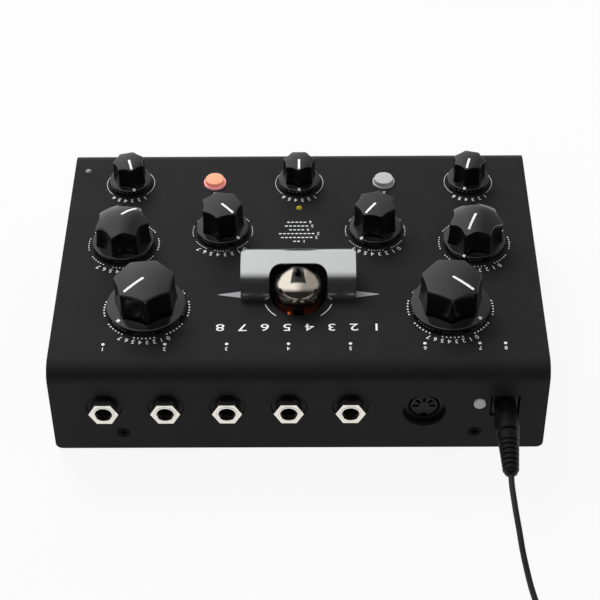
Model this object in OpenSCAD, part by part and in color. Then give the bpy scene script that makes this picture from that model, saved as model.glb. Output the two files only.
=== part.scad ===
// Desktop valve delay unit: a bent steel cover over a tray, nine knobs, three push buttons,
// a valve under a metal guard, five jack sockets and a low-voltage lead with its mains adapter.

/* [Case] */
// Width across the side edges of the cover
case_w = 217; // [210:1:240]
// Depth from the front face to the rear face
case_d = 151.6; // [148:0.2:170]
// Height of the cover, without the feet
case_h = 48.9; // [47:0.1:56]
// Thickness of the cover sheet
cover_t = 1.6; // [1.5:0.1:2]
// Outer radius of the two long bends
bend_r = 8; // [5:0.5:10]
// Radius of the lower corners of the front and rear faces
corner_r = 3; // [1:0.5:5]
// Thickness of the tray sheet
tray_t = 1.5; // [1.2:0.1:2]
// Gap between the cover and the tray
sheet_gap = 0.2; // [0.1:0.05:0.4]
// How far the tray sides sit inside the side edges of the cover
side_inset = 0.6; // [0.2:0.1:1.5]
// Height of the front lip of the tray
lip_h = 18; // [14:1:24]
// Height of a rubber foot
foot_h = 2.5; // [2:0.1:4]
// Diameter of a rubber foot
foot_d = 13; // [8:0.5:16]
// Distance of a foot's centre from the case edges
foot_inset = 15; // [12:1:30]

/* [Cover screws] */
// Distance of the cover screws from the middle of the case
screw_x = 77.7; // [60:0.1:85]
// Height of the cover screws
screw_z = 10.2; // [8:0.1:12]
// Thread diameter of every screw
screw_d = 2.9; // [2.5:0.1:3.2]
// Head diameter of the countersunk cover screws
sunk_head_d = 6; // [5.5:0.1:6.5]
// Depth of the countersunk head
sunk_head_h = 1.45; // [1.3:0.05:1.5]
// Length of a cover screw
cover_screw_l = 6; // [5:0.5:10]
// Clearance all round a screw in its hole
screw_gap = 0.1; // [0.05:0.01:0.2]

/* [Knobs] */
// Number of flutes round a knob
flutes = 7; // [5:1:9]
// Flute root as a share of the ridge radius
flute_share = 0.86; // [0.84:0.01:0.88]
// Half angle of the narrow land left on a ridge
ridge_half = 2.5; // [1.5:0.5:4]
// Gap between a knob and the panel
knob_lift = 0.7; // [0.5:0.1:1.5]
// Height of the upright rim of a skirt
rim_h = 2.6; // [1.5:0.1:3]
// Slope of a skirt above its rim, in degrees
skirt_slope = 17; // [15:1:35]
// Outward draft of a knob's sides, from its top to its skirt
knob_draft = 0.8; // [0.3:0.1:1.5]
// Skirt diameter of a large knob
large_skirt_d = 35.5; // [33:0.5:37]
// Ridge diameter of a large knob
large_top_d = 27.2; // [25:0.2:29]
// Height of a large knob
large_h = 18.3; // [16:0.1:22]
// Height of the domed top of a large knob
large_dome = 1.7; // [1:0.1:2.5]
// Skirt diameter of a medium knob
medium_skirt_d = 28.5; // [27:0.5:31]
// Ridge diameter of a medium knob
medium_top_d = 24.8; // [20:0.2:25.4]
// Height of a medium knob
medium_h = 17.4; // [16:0.1:20]
// Height of the domed top of a medium knob
medium_dome = 4; // [2:0.1:4.4]
// Skirt diameter of a tall knob
tall_skirt_d = 24.4; // [23:0.2:26]
// Ridge diameter of a tall knob
tall_top_d = 19.2; // [17.2:0.2:20]
// Height of a tall knob
tall_h = 16.3; // [14.6:0.1:20]
// Height of the domed top of a tall knob
tall_dome = 0.8; // [0.5:0.1:2]
// Skirt diameter of a small knob
small_skirt_d = 20; // [19:0.2:21]
// Ridge diameter of a small knob
small_top_d = 15.2; // [15:0.1:16.6]
// Height of a small knob
small_h = 13.9; // [13.6:0.1:18]
// Height of the domed top of a small knob
small_dome = 1.2; // [0.5:0.1:1.4]
// Sideways place of the large knobs
large_x = 67.3; // [64:0.1:72]
// Distance of the large knobs from the rear face
large_in = 38.8; // [34:0.1:42]
// Sideways place of the medium and the outer small knobs
outer_x = 80.7; // [76:0.1:84]
// Fore and aft place of the medium knobs
medium_y = -6.2; // [-9:0.1:-2]
// Distance of the small knobs from the front face
small_in = 25.6; // [22:0.1:30]
// Sideways place of the tall knobs
tall_x = 35.4; // [32:0.1:40]
// Distance of the tall knobs in front of the guard's axis
tall_step = 33.6; // [30:0.1:38]

/* [Potentiometers] */
// Diameter of a potentiometer shaft
shaft_d = 6; // [5.8:0.05:6.2]
// Running clearance all round a shaft in its bush
shaft_gap = 0.05; // [0.03:0.01:0.08]
// Outside diameter of a potentiometer bush
bush_d = 8; // [7.6:0.1:8.4]
// How far a bush stands above the panel
bush_rise = 4.4; // [3.6:0.1:5]
// Width across the flats of a panel nut
pot_nut_af = 10; // [9.6:0.1:10.4]
// Thickness of a panel nut
pot_nut_t = 2; // [1.5:0.1:2.6]
// Width of a potentiometer body
pot_w = 12; // [11:0.5:13]
// Height of a potentiometer body
pot_h = 6.9; // [6.5:0.1:8]
// How far a shaft reaches into its knob
shaft_grip = 6.4; // [5:0.1:6.6]
// Clearance round the bush and nut inside a knob
knob_room = 0.6; // [0.4:0.1:0.8]

/* [Buttons and lamps] */
// Distance of the two panel buttons from the middle of the case
button_x = 40.4; // [38:0.1:46]
// Distance of the two panel buttons from the front face
button_in = 25.4; // [22:0.1:30]
// Diameter of a panel button
button_d = 8.9; // [8:0.1:9.5]
// How far a panel button stands above the panel
button_rise = 2.8; // [1.5:0.1:3]
// Travel of a panel button
button_travel = 1; // [0.6:0.1:1.2]
// Outside diameter of a button collar
collar_d = 10.6; // [10.4:0.1:12]
// How far a button collar stands above the panel
collar_rise = 0.9; // [0.4:0.1:1.2]
// Sliding clearance all round a button
slide_gap = 0.08; // [0.05:0.01:0.1]
// Diameter of a panel button's stem
stem_d = 4; // [3:0.1:4.5]
// Diameter of the small button on the rear face
option_d = 5.3; // [4.5:0.1:6]
// Sideways place of the rear button
option_x = -78.9; // [-82:0.1:-74]
// Height of the rear button
option_z = 28.2; // [26:0.1:30]
// How far the rear button stands out of the cover
option_rise = 1; // [0.8:0.1:2]
// Travel of the rear button
option_travel = 0.6; // [0.4:0.1:0.7]
// Diameter of the rear button's stem
option_stem_d = 3; // [2.4:0.1:3.4]
// Gap round the rear button in the two walls
option_gap = 0.35; // [0.2:0.05:0.5]
// Diameter of a lamp
lamp_d = 3; // [2.6:0.1:3.4]
// Distance of the level lamp behind the row of small knobs
level_lamp_step = 18.4; // [16:0.1:21]
// Distance of the power lamp from the side edge of the cover
power_lamp_inset = 6.5; // [6:0.1:9]
// Distance of the power lamp from the front face
power_lamp_in = 16; // [14:0.1:20]

/* [Valve and guard] */
// Outside diameter of the valve glass
valve_d = 21.4; // [20.5:0.1:22]
// Length of the valve glass, from its seat to the top of its dome
valve_l = 48; // [45:0.5:50]
// How far the valve stands above the panel
valve_rise = 14.2; // [13.5:0.1:14.6]
// Height of the dome of the valve
dome_h = 7.7; // [6.5:0.1:8]
// Thickness of the glass
glass_t = 1; // [0.8:0.1:1.4]
// Distance of the valve's axis from the rear face
valve_in = 45.8; // [44.8:0.1:46]
// Height of the drawn-off tip on the crown of the glass
tip_h = 4.2; // [2:0.1:4.6]
// Radius of the foot of that tip
tip_r = 2; // [1.4:0.1:2.4]
// Clearance all round the valve in the panel and the boards
valve_gap = 1; // [0.6:0.1:1.6]
// Diameter of the circle of valve pins
pin_circle_d = 11.9; // [11:0.1:12.5]
// Diameter of a valve pin
valve_pin_d = 1; // [0.9:0.05:1.2]
// Outside radius of the guard's arch
guard_r = 14.2; // [14:0.1:15.5]
// Thickness of the guard's sheet
guard_t = 0.9; // [0.9:0.1:1.4]
// Length of the guard along the case
guard_l = 51.3; // [48:0.1:54]
// Distance of the guard's axis in front of the valve's axis
guard_step = 11.5; // [11.4:0.1:13]
// Width of the notch in the guard
notch_w = 26; // [25:0.2:28]
// Corner radius of the notch
notch_r = 6; // [4:0.1:6]
// Distance of the notch's inner edge behind the valve's axis
notch_reach = 7.6; // [7.6:0.1:8.6]
// Radius of the guard's two far corners
guard_corner_r = 9; // [5:0.1:9]
// Width of a guard tab
tab_w = 5; // [4:0.1:6]
// Length of a guard tab below the panel surface
tab_l = 4; // [3:0.1:5]
// Clearance round a guard tab in its slot
tab_gap = 0.15; // [0.1:0.05:0.3]

/* [Rear sockets] */
// Distance between neighbouring jack sockets
jack_pitch = 26.9; // [26:0.05:28]
// Sideways place of the first jack socket
jack_x = 84.9; // [84:0.1:88]
// Number of jack sockets
jack_n = 5; // [1:1:5]
// Height of the jack sockets
jack_z = 26.2; // [25.5:0.1:27]
// Diameter of a jack socket's bore
jack_bore_d = 6.5; // [6.4:0.05:6.7]
// Outside diameter of a jack bush
jack_bush_d = 9; // [8.8:0.1:9.4]
// Diameter of the cover's clearance hole round a jack socket
jack_hole_d = 15.7; // [15.2:0.1:16.5]
// Width across the flats of a jack nut
jack_nut_af = 11.4; // [11.2:0.1:12.5]
// Thickness of a jack nut
jack_nut_t = 3; // [2:0.1:3.4]
// How far the bushes stand out of the cover
rear_reach = 4.4; // [4:0.1:5]
// How far a jack collar lies below the cover's face
collar_recess = 0.4; // [0.2:0.1:0.7]
// Width of a jack socket's body
jack_body_w = 16; // [14:0.5:18]
// Length of a jack socket's body
jack_body_l = 26; // [24:0.5:30]
// Height of the jack axis above the main board
jack_rise = 9.1; // [8.5:0.1:9.5]
// Sideways place of the round socket
din_x = -55; // [-57:0.1:-52]
// Height of the round socket
din_z = 23.4; // [22.5:0.1:24.5]
// Diameter of the round socket's hole in the cover
din_hole_d = 18.9; // [18.5:0.1:19.5]
// Length of the round socket's barrel
din_l = 14; // [12:0.5:18]
// Sideways place of the power socket
dc_x = -90; // [-91:0.1:-88]
// Height of the power socket
dc_z = 26.5; // [26:0.1:28]
// Width of the power socket's nose
dc_w = 11.4; // [11:0.1:12]
// Height of the power socket's nose
dc_h = 11; // [10.8:0.1:12]
// Gap round the power socket's nose in the two walls
dc_gap = 0.7; // [0.3:0.1:0.9]
// Diameter of the power plug's barrel
barrel_d = 5.5; // [5.4:0.05:5.6]

/* [Boards] */
// Thickness of every circuit board
board_t = 1.6; // [1.2:0.1:2]
// Gap between the boards and the tray sides
board_gap = 5; // [4:0.5:7]
// Height of the valve board above the tray floor
valve_board_rise = 3; // [2:0.5:4]
// Diameter of a standoff
standoff_d = 6; // [5.4:0.1:7]

/* [Lead and adapter] */
// Diameter of the cord
cord_d = 2.6; // [2.4:0.1:2.8]
// Outer radius of the coil, at the middle of the cord
coil_r = 21; // [20:0.5:24]
// Step from turn to turn and from layer to layer of the coil
coil_step = 3.5; // [3.4:0.1:3.8]
// Layers of the coil
coil_layers = 4; // [2:2:4]
// Thickness of the cord tie
tie_t = 0.8; // [0.6:0.1:1.2]
// Width of the cord tie
tie_w = 6; // [5:0.5:8]
// Clearance between the coil and its tie
tie_gap = 0.3; // [0.2:0.1:0.6]
// Length of the mains adapter
adapter_l = 60; // [50:1:70]
// Width of the mains adapter
adapter_w = 40; // [34:1:46]
// Height of the mains adapter as it lies, below the line of a plug going into a jack socket
adapter_h = 24; // [20:0.5:25]

/* [Hidden] */

$fn = 64;
// A little more than nothing, so that a cut passes right through a face
cut = 1;
// Facets in a quarter turn of a rounded outline
quarter = 10;

// Case planes, measured in the case's own frame: middle of the case, lower edge of the cover
rear_y = case_d / 2;
half_w = case_w / 2;
under = case_h - cover_t;
wall_out = rear_y - cover_t - sheet_gap;
wall_in = wall_out - tray_t;
wall_top = case_h - bend_r - sheet_gap;
side_out = half_w - side_inset;
side_in = side_out - tray_t;

// Rows of the panel, each measured from the face or the axis that it keeps to
large_y = rear_y - large_in;
small_y = small_in - rear_y;
button_y = button_in - rear_y;
valve_y = rear_y - valve_in;
guard_y = valve_y - guard_step;
tall_y = guard_y - tall_step;

// Boards
pot_board_top = under - pot_h;
main_top = jack_z - jack_rise;
main_low = main_top - board_t;
valve_board_low = tray_t + valve_board_rise;
valve_board_top = valve_board_low + board_t;
board_x = side_in - board_gap;
board_front = -wall_in + board_gap;
board_rear = wall_in - 2;
standoff_in = 4.5;
valve_board_w = 44;
valve_board_d = 36;
standoff_y = valve_y - valve_board_d / 2 - standoff_d / 2 - 7;
header_w = 34;
header_d = 6;
header_h = 6;
header_y = standoff_y - 15;
ribbon_t = 1;

// Knobs: place, sizes and the angle of the pointer at rest, turned from +Y seen from above
large = [large_skirt_d / 2, large_top_d / 2, large_h, large_dome];
medium = [medium_skirt_d / 2, medium_top_d / 2, medium_h, medium_dome];
tall = [tall_skirt_d / 2, tall_top_d / 2, tall_h, tall_dome];
small = [small_skirt_d / 2, small_top_d / 2, small_h, small_dome];
CUTOFF = [large_x, large_y, large, -46];
DELAY_TIME = [-large_x, large_y, large, 50];
DRIVE = [outer_x, medium_y, medium, 137];
FEEDBACK = [-outer_x, medium_y, medium, -24];
FILTER_MODE = [outer_x, small_y, small, 15];
DELAY_MODE = [-outer_x, small_y, small, -15];
INPUT_LEVEL = [0, small_y, small, 0];
RESONANCE = [tall_x, tall_y, tall, 42];
MIX = [-tall_x, tall_y, tall, -36];
KNOBS = [CUTOFF, DELAY_TIME, DRIVE, FEEDBACK, FILTER_MODE, DELAY_MODE, INPUT_LEVEL, RESONANCE, MIX];
nut_room_r = pot_nut_af / 2 / cos(30) + knob_room;
nut_room_h = pot_nut_t + knob_room - knob_lift;
cavity_r = bush_d / 2 + knob_room;
cavity_h = bush_rise + knob_room - knob_lift;
chamfer = 0.6;

// Buttons, lamps and jack sockets
BUTTONS = [[button_x, button_y], [-button_x, button_y]];
switch_w = 12;
switch_h = 3;
stem_room = 0.3;
cap_low = pot_board_top + switch_h + button_travel + stem_room;
stem_low = pot_board_top + stem_room + button_travel;
POWER_LAMP = [half_w - power_lamp_inset, power_lamp_in - rear_y];
LEVEL_LAMP = [0, small_y + level_lamp_step];
lamp_gap = 0.1;
JACKS = [for (i = [0 : jack_n - 1]) jack_x - i * jack_pitch];
collar_face = rear_y - collar_recess;
din_notch = din_hole_d + 4;
din_foot_w = din_notch + 6;
din_foot_h = 2;
nut_face = rear_y + rear_reach - 0.1;

// Rear button: its switch stands on the main board
option_low = wall_in - 2;
option_switch_y = option_low - option_travel - stem_room;
option_switch_l = 6;
option_switch_w = 8;

// Power plug: its shoulder stops against the socket's nose
dc_face = rear_y - 0.8;
dc_body_l = 14;
barrel_l = 9.3;
barrel_gap = 0.1;
plug_l = 17.2;
plug_end = dc_face + plug_l;

// Valve seat and socket
valve_top = case_h + valve_rise;
valve_seat = valve_top - valve_l;
pin_l = 6;
glass_base_t = 2.5;
notch_y = valve_y - notch_reach;

// Lead route in the part's frame, from the end of the boot to the start of the coil
boot_start = [dc_x, plug_end - rear_reach / 2, dc_z + foot_h];
coil_z = 2.4;
// Each point: sideways and outward from the boot's start, and the share of the height left
FALL = [
    [0, 20, 0.85], [0, 25, 0.812], [-0.4, 31, 0.76], [-1, 37, 0.68], [-2, 44, 0.556],
    [-3, 51, 0.414], [-4.4, 58, 0.271], [-6, 65, 0.143], [-8, 72, 0.041], [-10, 79, -0.019],
    [-12, 85, -0.034], [-13.6, 90, -0.03], [-14.7, 94.5, -0.012], [-15, 98, 0], [-15, 101, 0],
];
ROUTE = [for (p = FALL) [boot_start[0] + p[0], boot_start[1] + p[1],
    max(cord_d / 2, coil_z + p[2] * (boot_start[2] - coil_z))]];
cord_sides = 8;

// Coil: in and out again in layers, clockwise, from its left edge to its far edge
coil_x = ROUTE[len(ROUTE) - 1][0] + coil_r;
coil_run = 3;
coil_end_run = 2 * coil_run + coil_r;
coil_y = ROUTE[len(ROUTE) - 1][1] + coil_run;
coil_sides = 6;
loop_rings = 24;
layer_turns = (16.25 - coil_layers / 2) / coil_layers - (coil_layers > 2 ? 0.125 : 0.0625);
climb_turns = 0.5;
coil_turns = coil_layers * layer_turns + (coil_layers - 1) * climb_turns;
coil_inner_r = coil_r - layer_turns * coil_step;

// Mains adapter: its cord entry lies level with the top layer of the coil
adapter_z = coil_z + (coil_layers - 1) * coil_step;
adapter_boot_l = 6;
adapter_x = coil_x + coil_end_run + adapter_boot_l;
adapter_y = coil_y + coil_r;
adapter_corner_r = 5;
prong_d = 4;
prong_l = 19;
prong_half = 9.3;

// Stands the case on its feet, with the depth over the jack bushes centred
module in_case() {
    translate([0, -rear_reach / 2, foot_h]) children();
}

// Puts a shape made along +Z at a place, turned to point out of the rear face
module facing_rear(x, y, z) {
    translate([x, y, z]) rotate([-90, 0, 0]) children();
}

// Runs a side outline, drawn as depth and height, across a width
module across(width) {
    rotate([90, 0, 90]) translate([0, 0, -width / 2]) linear_extrude(width) children();
}

// Points along an arc
function arc(c, r, from, to, n = quarter) =
    [for (i = [0 : n]) c + r * [cos(from + (to - from) * i / n), sin(from + (to - from) * i / n)]];

// Outline of a rectangle with round corners, centred
function rounded(w, d, r, n = 6) = concat(
    arc([w / 2 - r, d / 2 - r], r, 0, 90, n), arc([r - w / 2, d / 2 - r], r, 90, 180, n),
    arc([r - w / 2, r - d / 2], r, 180, 270, n), arc([w / 2 - r, r - d / 2], r, 270, 360, n));

// Bent sheet: front face, top and rear face in one piece, with every opening
module top_cover() {
    bend_y = rear_y - bend_r;
    bend_z = case_h - bend_r;
    inner_r = bend_r - cover_t;
    sheet = concat(
        [[rear_y, 0]], arc([bend_y, bend_z], bend_r, 0, 90), arc([-bend_y, bend_z], bend_r, 90, 180),
        [[-rear_y, 0], [cover_t - rear_y, 0]],
        arc([-bend_y, bend_z], inner_r, 180, 90), arc([bend_y, bend_z], inner_r, 90, 0),
        [[rear_y - cover_t, 0]]);
    color([0.13, 0.13, 0.14]) in_case() difference() {
        across(case_w) polygon(sheet);
        for (side = [0, 1]) mirror([side, 0, 0]) rotate([90, 0, 0])
            linear_extrude(case_d + 2 * cut, center = true)
                polygon(concat([[half_w + cut, -cut], [half_w + cut, corner_r]],
                    arc([half_w - corner_r, corner_r], corner_r, 0, -90, 5), [[half_w - corner_r, -cut]]));
        for (k = KNOBS) translate([k[0], k[1], under - cut])
            cylinder(d = bush_d + 2 * screw_gap, h = cover_t + 2 * cut);
        for (b = BUTTONS) translate([b[0], b[1], under - cut])
            cylinder(d = collar_d + 2 * lamp_gap, h = cover_t + 2 * cut);
        for (p = [LEVEL_LAMP, POWER_LAMP]) translate([p[0], p[1], under - cut])
            cylinder(d = lamp_d + 2 * lamp_gap, h = cover_t + 2 * cut);
        translate([0, valve_y, under - cut]) cylinder(d = valve_d + 2 * valve_gap, h = cover_t + 2 * cut);
        guard_tabs(tab_gap);
        for (x = JACKS) facing_rear(x, rear_y - cover_t - cut, jack_z)
            cylinder(d = jack_hole_d, h = cover_t + 2 * cut);
        facing_rear(din_x, rear_y - cover_t - cut, din_z) cylinder(d = din_hole_d, h = cover_t + 2 * cut);
        facing_rear(option_x, rear_y - cover_t - cut, option_z)
            cylinder(d = option_d + 2 * option_gap, h = cover_t + 2 * cut);
        dc_opening(rear_y - cover_t - cut, cover_t + 2 * cut);
        each_cover_screw() sunk_hole();
    }
}

// Opening for the power socket's nose, from a depth and through a length
module dc_opening(y, l) {
    translate([dc_x - dc_w / 2 - dc_gap, y, dc_z - dc_h / 2 - dc_gap])
        cube([dc_w + 2 * dc_gap, l, dc_h + 2 * dc_gap]);
}

// The four cover screws: two in the rear face and two in the front face
module each_cover_screw() {
    for (face = [0, 1]) mirror([0, face, 0]) for (side = [-1, 1])
        facing_rear(side * screw_x, rear_y, screw_z) children();
}

// Countersunk hole, with the cover's face at its origin
module sunk_hole() {
    translate([0, 0, -sunk_head_h])
        cylinder(d1 = screw_d + 2 * screw_gap, d2 = sunk_head_d + 2 * screw_gap, h = sunk_head_h);
    translate([0, 0, -cover_t - cut]) cylinder(d = screw_d + 2 * screw_gap, h = cover_t + cut);
    cylinder(d = sunk_head_d + 2 * screw_gap, h = cut);
}

// Tray: floor, two sides, a rear wall behind the cover and a low front lip
module base_tray() {
    top_z = under - sheet_gap;
    r = bend_r - cover_t;
    side = concat([[wall_out, 0]], arc([wall_out - r, top_z - r], r, 0, 90),
        arc([r - wall_out, top_z - r], r, 90, 180), [[-wall_out, 0]]);
    color([0.16, 0.16, 0.17]) in_case() difference() {
        union() {
            translate([-side_out, -wall_out, 0]) cube([2 * side_out, 2 * wall_out, tray_t]);
            for (s = [-1, 1]) translate([s * (side_out - tray_t / 2), 0, 0]) across(tray_t) polygon(side);
            translate([-side_out, wall_in, 0]) cube([2 * side_out, tray_t, wall_top]);
            translate([-side_out, -wall_out, 0]) cube([2 * side_out, tray_t, lip_h]);
        }
        for (x = JACKS) facing_rear(x, wall_in - cut, jack_z)
            cylinder(d = jack_bush_d + 2 * screw_gap, h = tray_t + 2 * cut);
        facing_rear(din_x, wall_in - cut, din_z) cylinder(d = din_hole_d, h = tray_t + 2 * cut);
        facing_rear(option_x, wall_in - cut, option_z)
            cylinder(d = option_d + 2 * option_gap, h = tray_t + 2 * cut);
        dc_opening(wall_in - cut, tray_t + 2 * cut);
        each_cover_screw() translate([0, 0, -cover_t - tray_t - cut])
            cylinder(d = screw_d + screw_gap, h = tray_t + 2 * cut);
    }
}

// Countersunk screws with a cross recess
module cover_screws() {
    recess_w = 0.9;
    recess_l = 3.4;
    recess_h = 0.9;
    core_d = 1.8;
    core_h = 1.2;
    color([0.08, 0.08, 0.08]) in_case() each_cover_screw() difference() {
        union() {
            translate([0, 0, -sunk_head_h]) cylinder(d1 = screw_d, d2 = sunk_head_d, h = sunk_head_h);
            translate([0, 0, -cover_screw_l]) cylinder(d = screw_d, h = cover_screw_l - sunk_head_h);
        }
        for (turn = [0, 90]) rotate([0, 0, turn]) translate([-recess_l / 2, -recess_w / 2, -recess_h])
            cube([recess_l, recess_w, recess_h + cut]);
        translate([0, 0, -core_h]) cylinder(d = core_d, h = core_h + cut, $fn = 24);
    }
}

// Four stuck-on feet with a bevelled lower edge
module rubber_feet() {
    bevel = 0.8;
    color([0.07, 0.07, 0.07]) in_case() for (x = [-1, 1], y = [-1, 1])
        translate([x * (half_w - foot_inset), y * (rear_y - foot_inset), -foot_h]) {
            cylinder(d1 = foot_d - 2 * bevel, d2 = foot_d, h = bevel);
            translate([0, 0, bevel]) cylinder(d = foot_d, h = foot_h - bevel);
        }
}

// Places of the screws and standoffs of the main board
module each_main_standoff() {
    for (x = [-1, 0, 1], y = [board_front + standoff_in, standoff_y])
        translate([x * (board_x - standoff_in), y, 0]) children();
}

// Places of the spacers under the valve board
module each_valve_spacer() {
    for (x = [-1, 1], y = [-1, 1])
        translate([0, valve_y, 0])
            translate([x * (valve_board_w / 2 - standoff_in), y * (valve_board_d / 2 - standoff_in), 0])
                children();
}

// Main board, with a round opening for the valve and a cut-out for the round socket
module main_board() {
    color([0.06, 0.28, 0.16]) in_case() difference() {
        translate([-board_x, board_front, main_low]) cube([2 * board_x, board_rear - board_front, board_t]);
        translate([0, valve_y, main_low - cut]) cylinder(d = valve_d + 4 * valve_gap, h = board_t + 2 * cut);
        translate([din_x - din_notch / 2, wall_in - din_l - 2, main_low - cut])
            cube([din_notch, din_l + 4, board_t + 2 * cut]);
        each_main_standoff() translate([0, 0, main_low - cut])
            cylinder(d = screw_d + 2 * screw_gap, h = board_t + 2 * cut);
    }
}

// Board behind the panel, held by the potentiometers
module panel_board() {
    color([0.06, 0.28, 0.16]) in_case() difference() {
        translate([-board_x, board_front, pot_board_top - board_t])
            cube([2 * board_x, board_rear - board_front - 10, board_t]);
        translate([0, valve_y, pot_board_top - board_t - cut])
            cylinder(d = valve_d + 4 * valve_gap, h = board_t + 2 * cut);
    }
}

// Small board on the tray floor that carries the valve socket
module valve_board() {
    color([0.06, 0.28, 0.16]) in_case() difference() {
        translate([-valve_board_w / 2, valve_y - valve_board_d / 2, valve_board_low])
            cube([valve_board_w, valve_board_d, board_t]);
        each_valve_spacer() translate([0, 0, valve_board_low - cut])
            cylinder(d = screw_d + 2 * screw_gap, h = board_t + 2 * cut);
    }
}

// Threaded standoffs under the main board and spacers under the valve board
module board_standoffs() {
    color([0.75, 0.72, 0.6]) in_case() {
        each_main_standoff() standoff(main_low - tray_t);
        each_valve_spacer() standoff(valve_board_rise);
    }
}

// One standoff on the tray floor
module standoff(h) {
    translate([0, 0, tray_t]) difference() {
        cylinder(d = standoff_d, h = h);
        translate([0, 0, 0.5]) cylinder(d = screw_d + screw_gap, h = h);
    }
}

// Screws that hold the two lower boards to their standoffs
module board_screws() {
    color([0.78, 0.78, 0.8]) in_case() {
        each_main_standoff() translate([0, 0, main_top]) board_screw(6);
        each_valve_spacer() translate([0, 0, valve_board_top]) board_screw(board_t + valve_board_rise - 0.8);
    }
}

// One cheese-head screw, with its seat at the origin
module board_screw(l) {
    difference() {
        cylinder(d = screw_d + 2.4, h = 1.8);
        translate([-screw_d, -0.4, 1]) cube([2 * screw_d, 0.8, 2]);
    }
    translate([0, 0, -l]) cylinder(d = screw_d, h = l);
}

// Flat chips on the main board, each with its place as shares of the board's half width
module board_chips() {
    processor_w = 16;
    processor_t = 1.4;
    memory_w = 10;
    memory_l = 12;
    memory_t = 1.2;
    amplifier_w = 8;
    amplifier_l = 14;
    amplifier_t = 1.6;
    color([0.1, 0.1, 0.1]) in_case() translate([0, header_y - header_d, main_top]) {
        translate([-0.55 * board_x, 0, 0]) flat_chip(processor_w, processor_w, processor_t);
        translate([-0.28 * board_x, 0, 0]) flat_chip(memory_w, memory_l, memory_t);
        for (share = [0.28, 0.55]) translate([share * board_x, 0, 0])
            flat_chip(amplifier_w, amplifier_l, amplifier_t);
    }
}

// One chip, centred on its place and standing on the board
module flat_chip(w, l, t) {
    translate([-w / 2, -l / 2, 0]) cube([w, l, t]);
}

// Round capacitors on the main board, in the row between the standoffs and the jack sockets
module board_capacitors() {
    can_d = 8;
    can_h = 11;
    can_y = standoff_y + standoff_d + can_d - 2;
    color([0.2, 0.22, 0.3]) in_case() for (share = [-0.8, -0.68, 0.25, 0.74])
        translate([share * board_x, can_y, main_top]) cylinder(d = can_d, h = can_h);
}

// Two headers that carry the ribbon between the main and panel boards
module link_headers() {
    color([0.1, 0.1, 0.11]) in_case() for (z = [main_top, pot_board_top - board_t - header_h])
        translate([-header_w / 2, header_y - header_d / 2, z]) cube([header_w, header_d, header_h]);
}

// Flat ribbon between the two headers
module link_ribbon() {
    edge = 2;
    drop = pot_board_top - board_t - main_top - 2 * header_h;
    color([0.6, 0.6, 0.62]) in_case()
        translate([edge - header_w / 2, header_y - ribbon_t / 2, main_top + header_h])
            cube([header_w - 2 * edge, ribbon_t, drop]);
}

// Nine potentiometers: a body under the cover and a bush through it, bored for the shaft
module potentiometers() {
    floor_t = 1;
    color([0.55, 0.57, 0.6]) in_case() for (k = KNOBS) translate([k[0], k[1], 0]) difference() {
        union() {
            translate([-pot_w / 2, -pot_w / 2, pot_board_top]) cube([pot_w, pot_w, pot_h]);
            translate([0, 0, under - cut]) cylinder(d = bush_d, h = cover_t + bush_rise + cut);
        }
        translate([0, 0, pot_board_top + floor_t])
            cylinder(d = shaft_d + 2 * shaft_gap, h = pot_h + cover_t + bush_rise);
    }
}

// Nine nuts that clamp the bushes to the panel
module panel_nuts() {
    color([0.7, 0.71, 0.73]) in_case() for (k = KNOBS) translate([k[0], k[1], case_h]) difference() {
        cylinder(d = pot_nut_af / cos(30), h = pot_nut_t, $fn = 6);
        translate([0, 0, -cut]) cylinder(d = bush_d + screw_gap, h = pot_nut_t + 2 * cut);
    }
}

// Fluted knob on the panel surface, bored for its shaft and hollow over its nut
module knob(k) {
    skirt_r = k[2][0];
    ridge_r = k[2][1];
    h = k[2][2];
    dome = k[2][3];
    edge_h = h - dome;
    shoulder_r = ridge_r * 0.83;
    shoulder_h = dome * 0.62;
    crown_r = ridge_r * 0.3;
    root_r = ridge_r * flute_share;
    half = 180 / flutes - ridge_half;
    flute_c = (ridge_r * ridge_r - root_r * root_r) / (2 * (ridge_r * cos(half) - root_r));
    cone_h = (skirt_r - root_r + 1) * tan(skirt_slope);
    color([0.05, 0.05, 0.055]) in_case() translate([k[0], k[1], case_h + knob_lift]) rotate([0, 0, k[3]])
        difference() {
            union() {
                cylinder(r = skirt_r, h = rim_h);
                translate([0, 0, rim_h]) cylinder(r1 = skirt_r, r2 = root_r - 1, h = cone_h);
                difference() {
                    union() {
                        translate([0, 0, rim_h / 2])
                            cylinder(r1 = ridge_r + knob_draft, r2 = ridge_r, h = edge_h - rim_h / 2);
                        translate([0, 0, edge_h]) cylinder(r1 = ridge_r, r2 = shoulder_r, h = shoulder_h);
                        translate([0, 0, edge_h + shoulder_h])
                            cylinder(r1 = shoulder_r, r2 = crown_r, h = dome - shoulder_h);
                    }
                    for (i = [0 : flutes - 1]) rotate([0, 0, (i + 0.5) * 360 / flutes])
                        translate([0, flute_c, rim_h / 2 - cut])
                            cylinder(r = flute_c - root_r, h = h);
                }
            }
            translate([0, 0, -cut]) cylinder(r = nut_room_r, h = nut_room_h + cut);
            cylinder(r = cavity_r, h = cavity_h);
            cylinder(d = shaft_d + shaft_gap, h = cavity_h + shaft_grip + stem_room);
        }
}

// Shaft from inside a potentiometer up into its knob
module shaft(k) {
    low = pot_board_top + 1 + stem_room;
    color([0.75, 0.75, 0.77]) in_case() translate([k[0], k[1], low])
        cylinder(d = shaft_d, h = case_h + knob_lift + cavity_h + shaft_grip - low);
}

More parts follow.
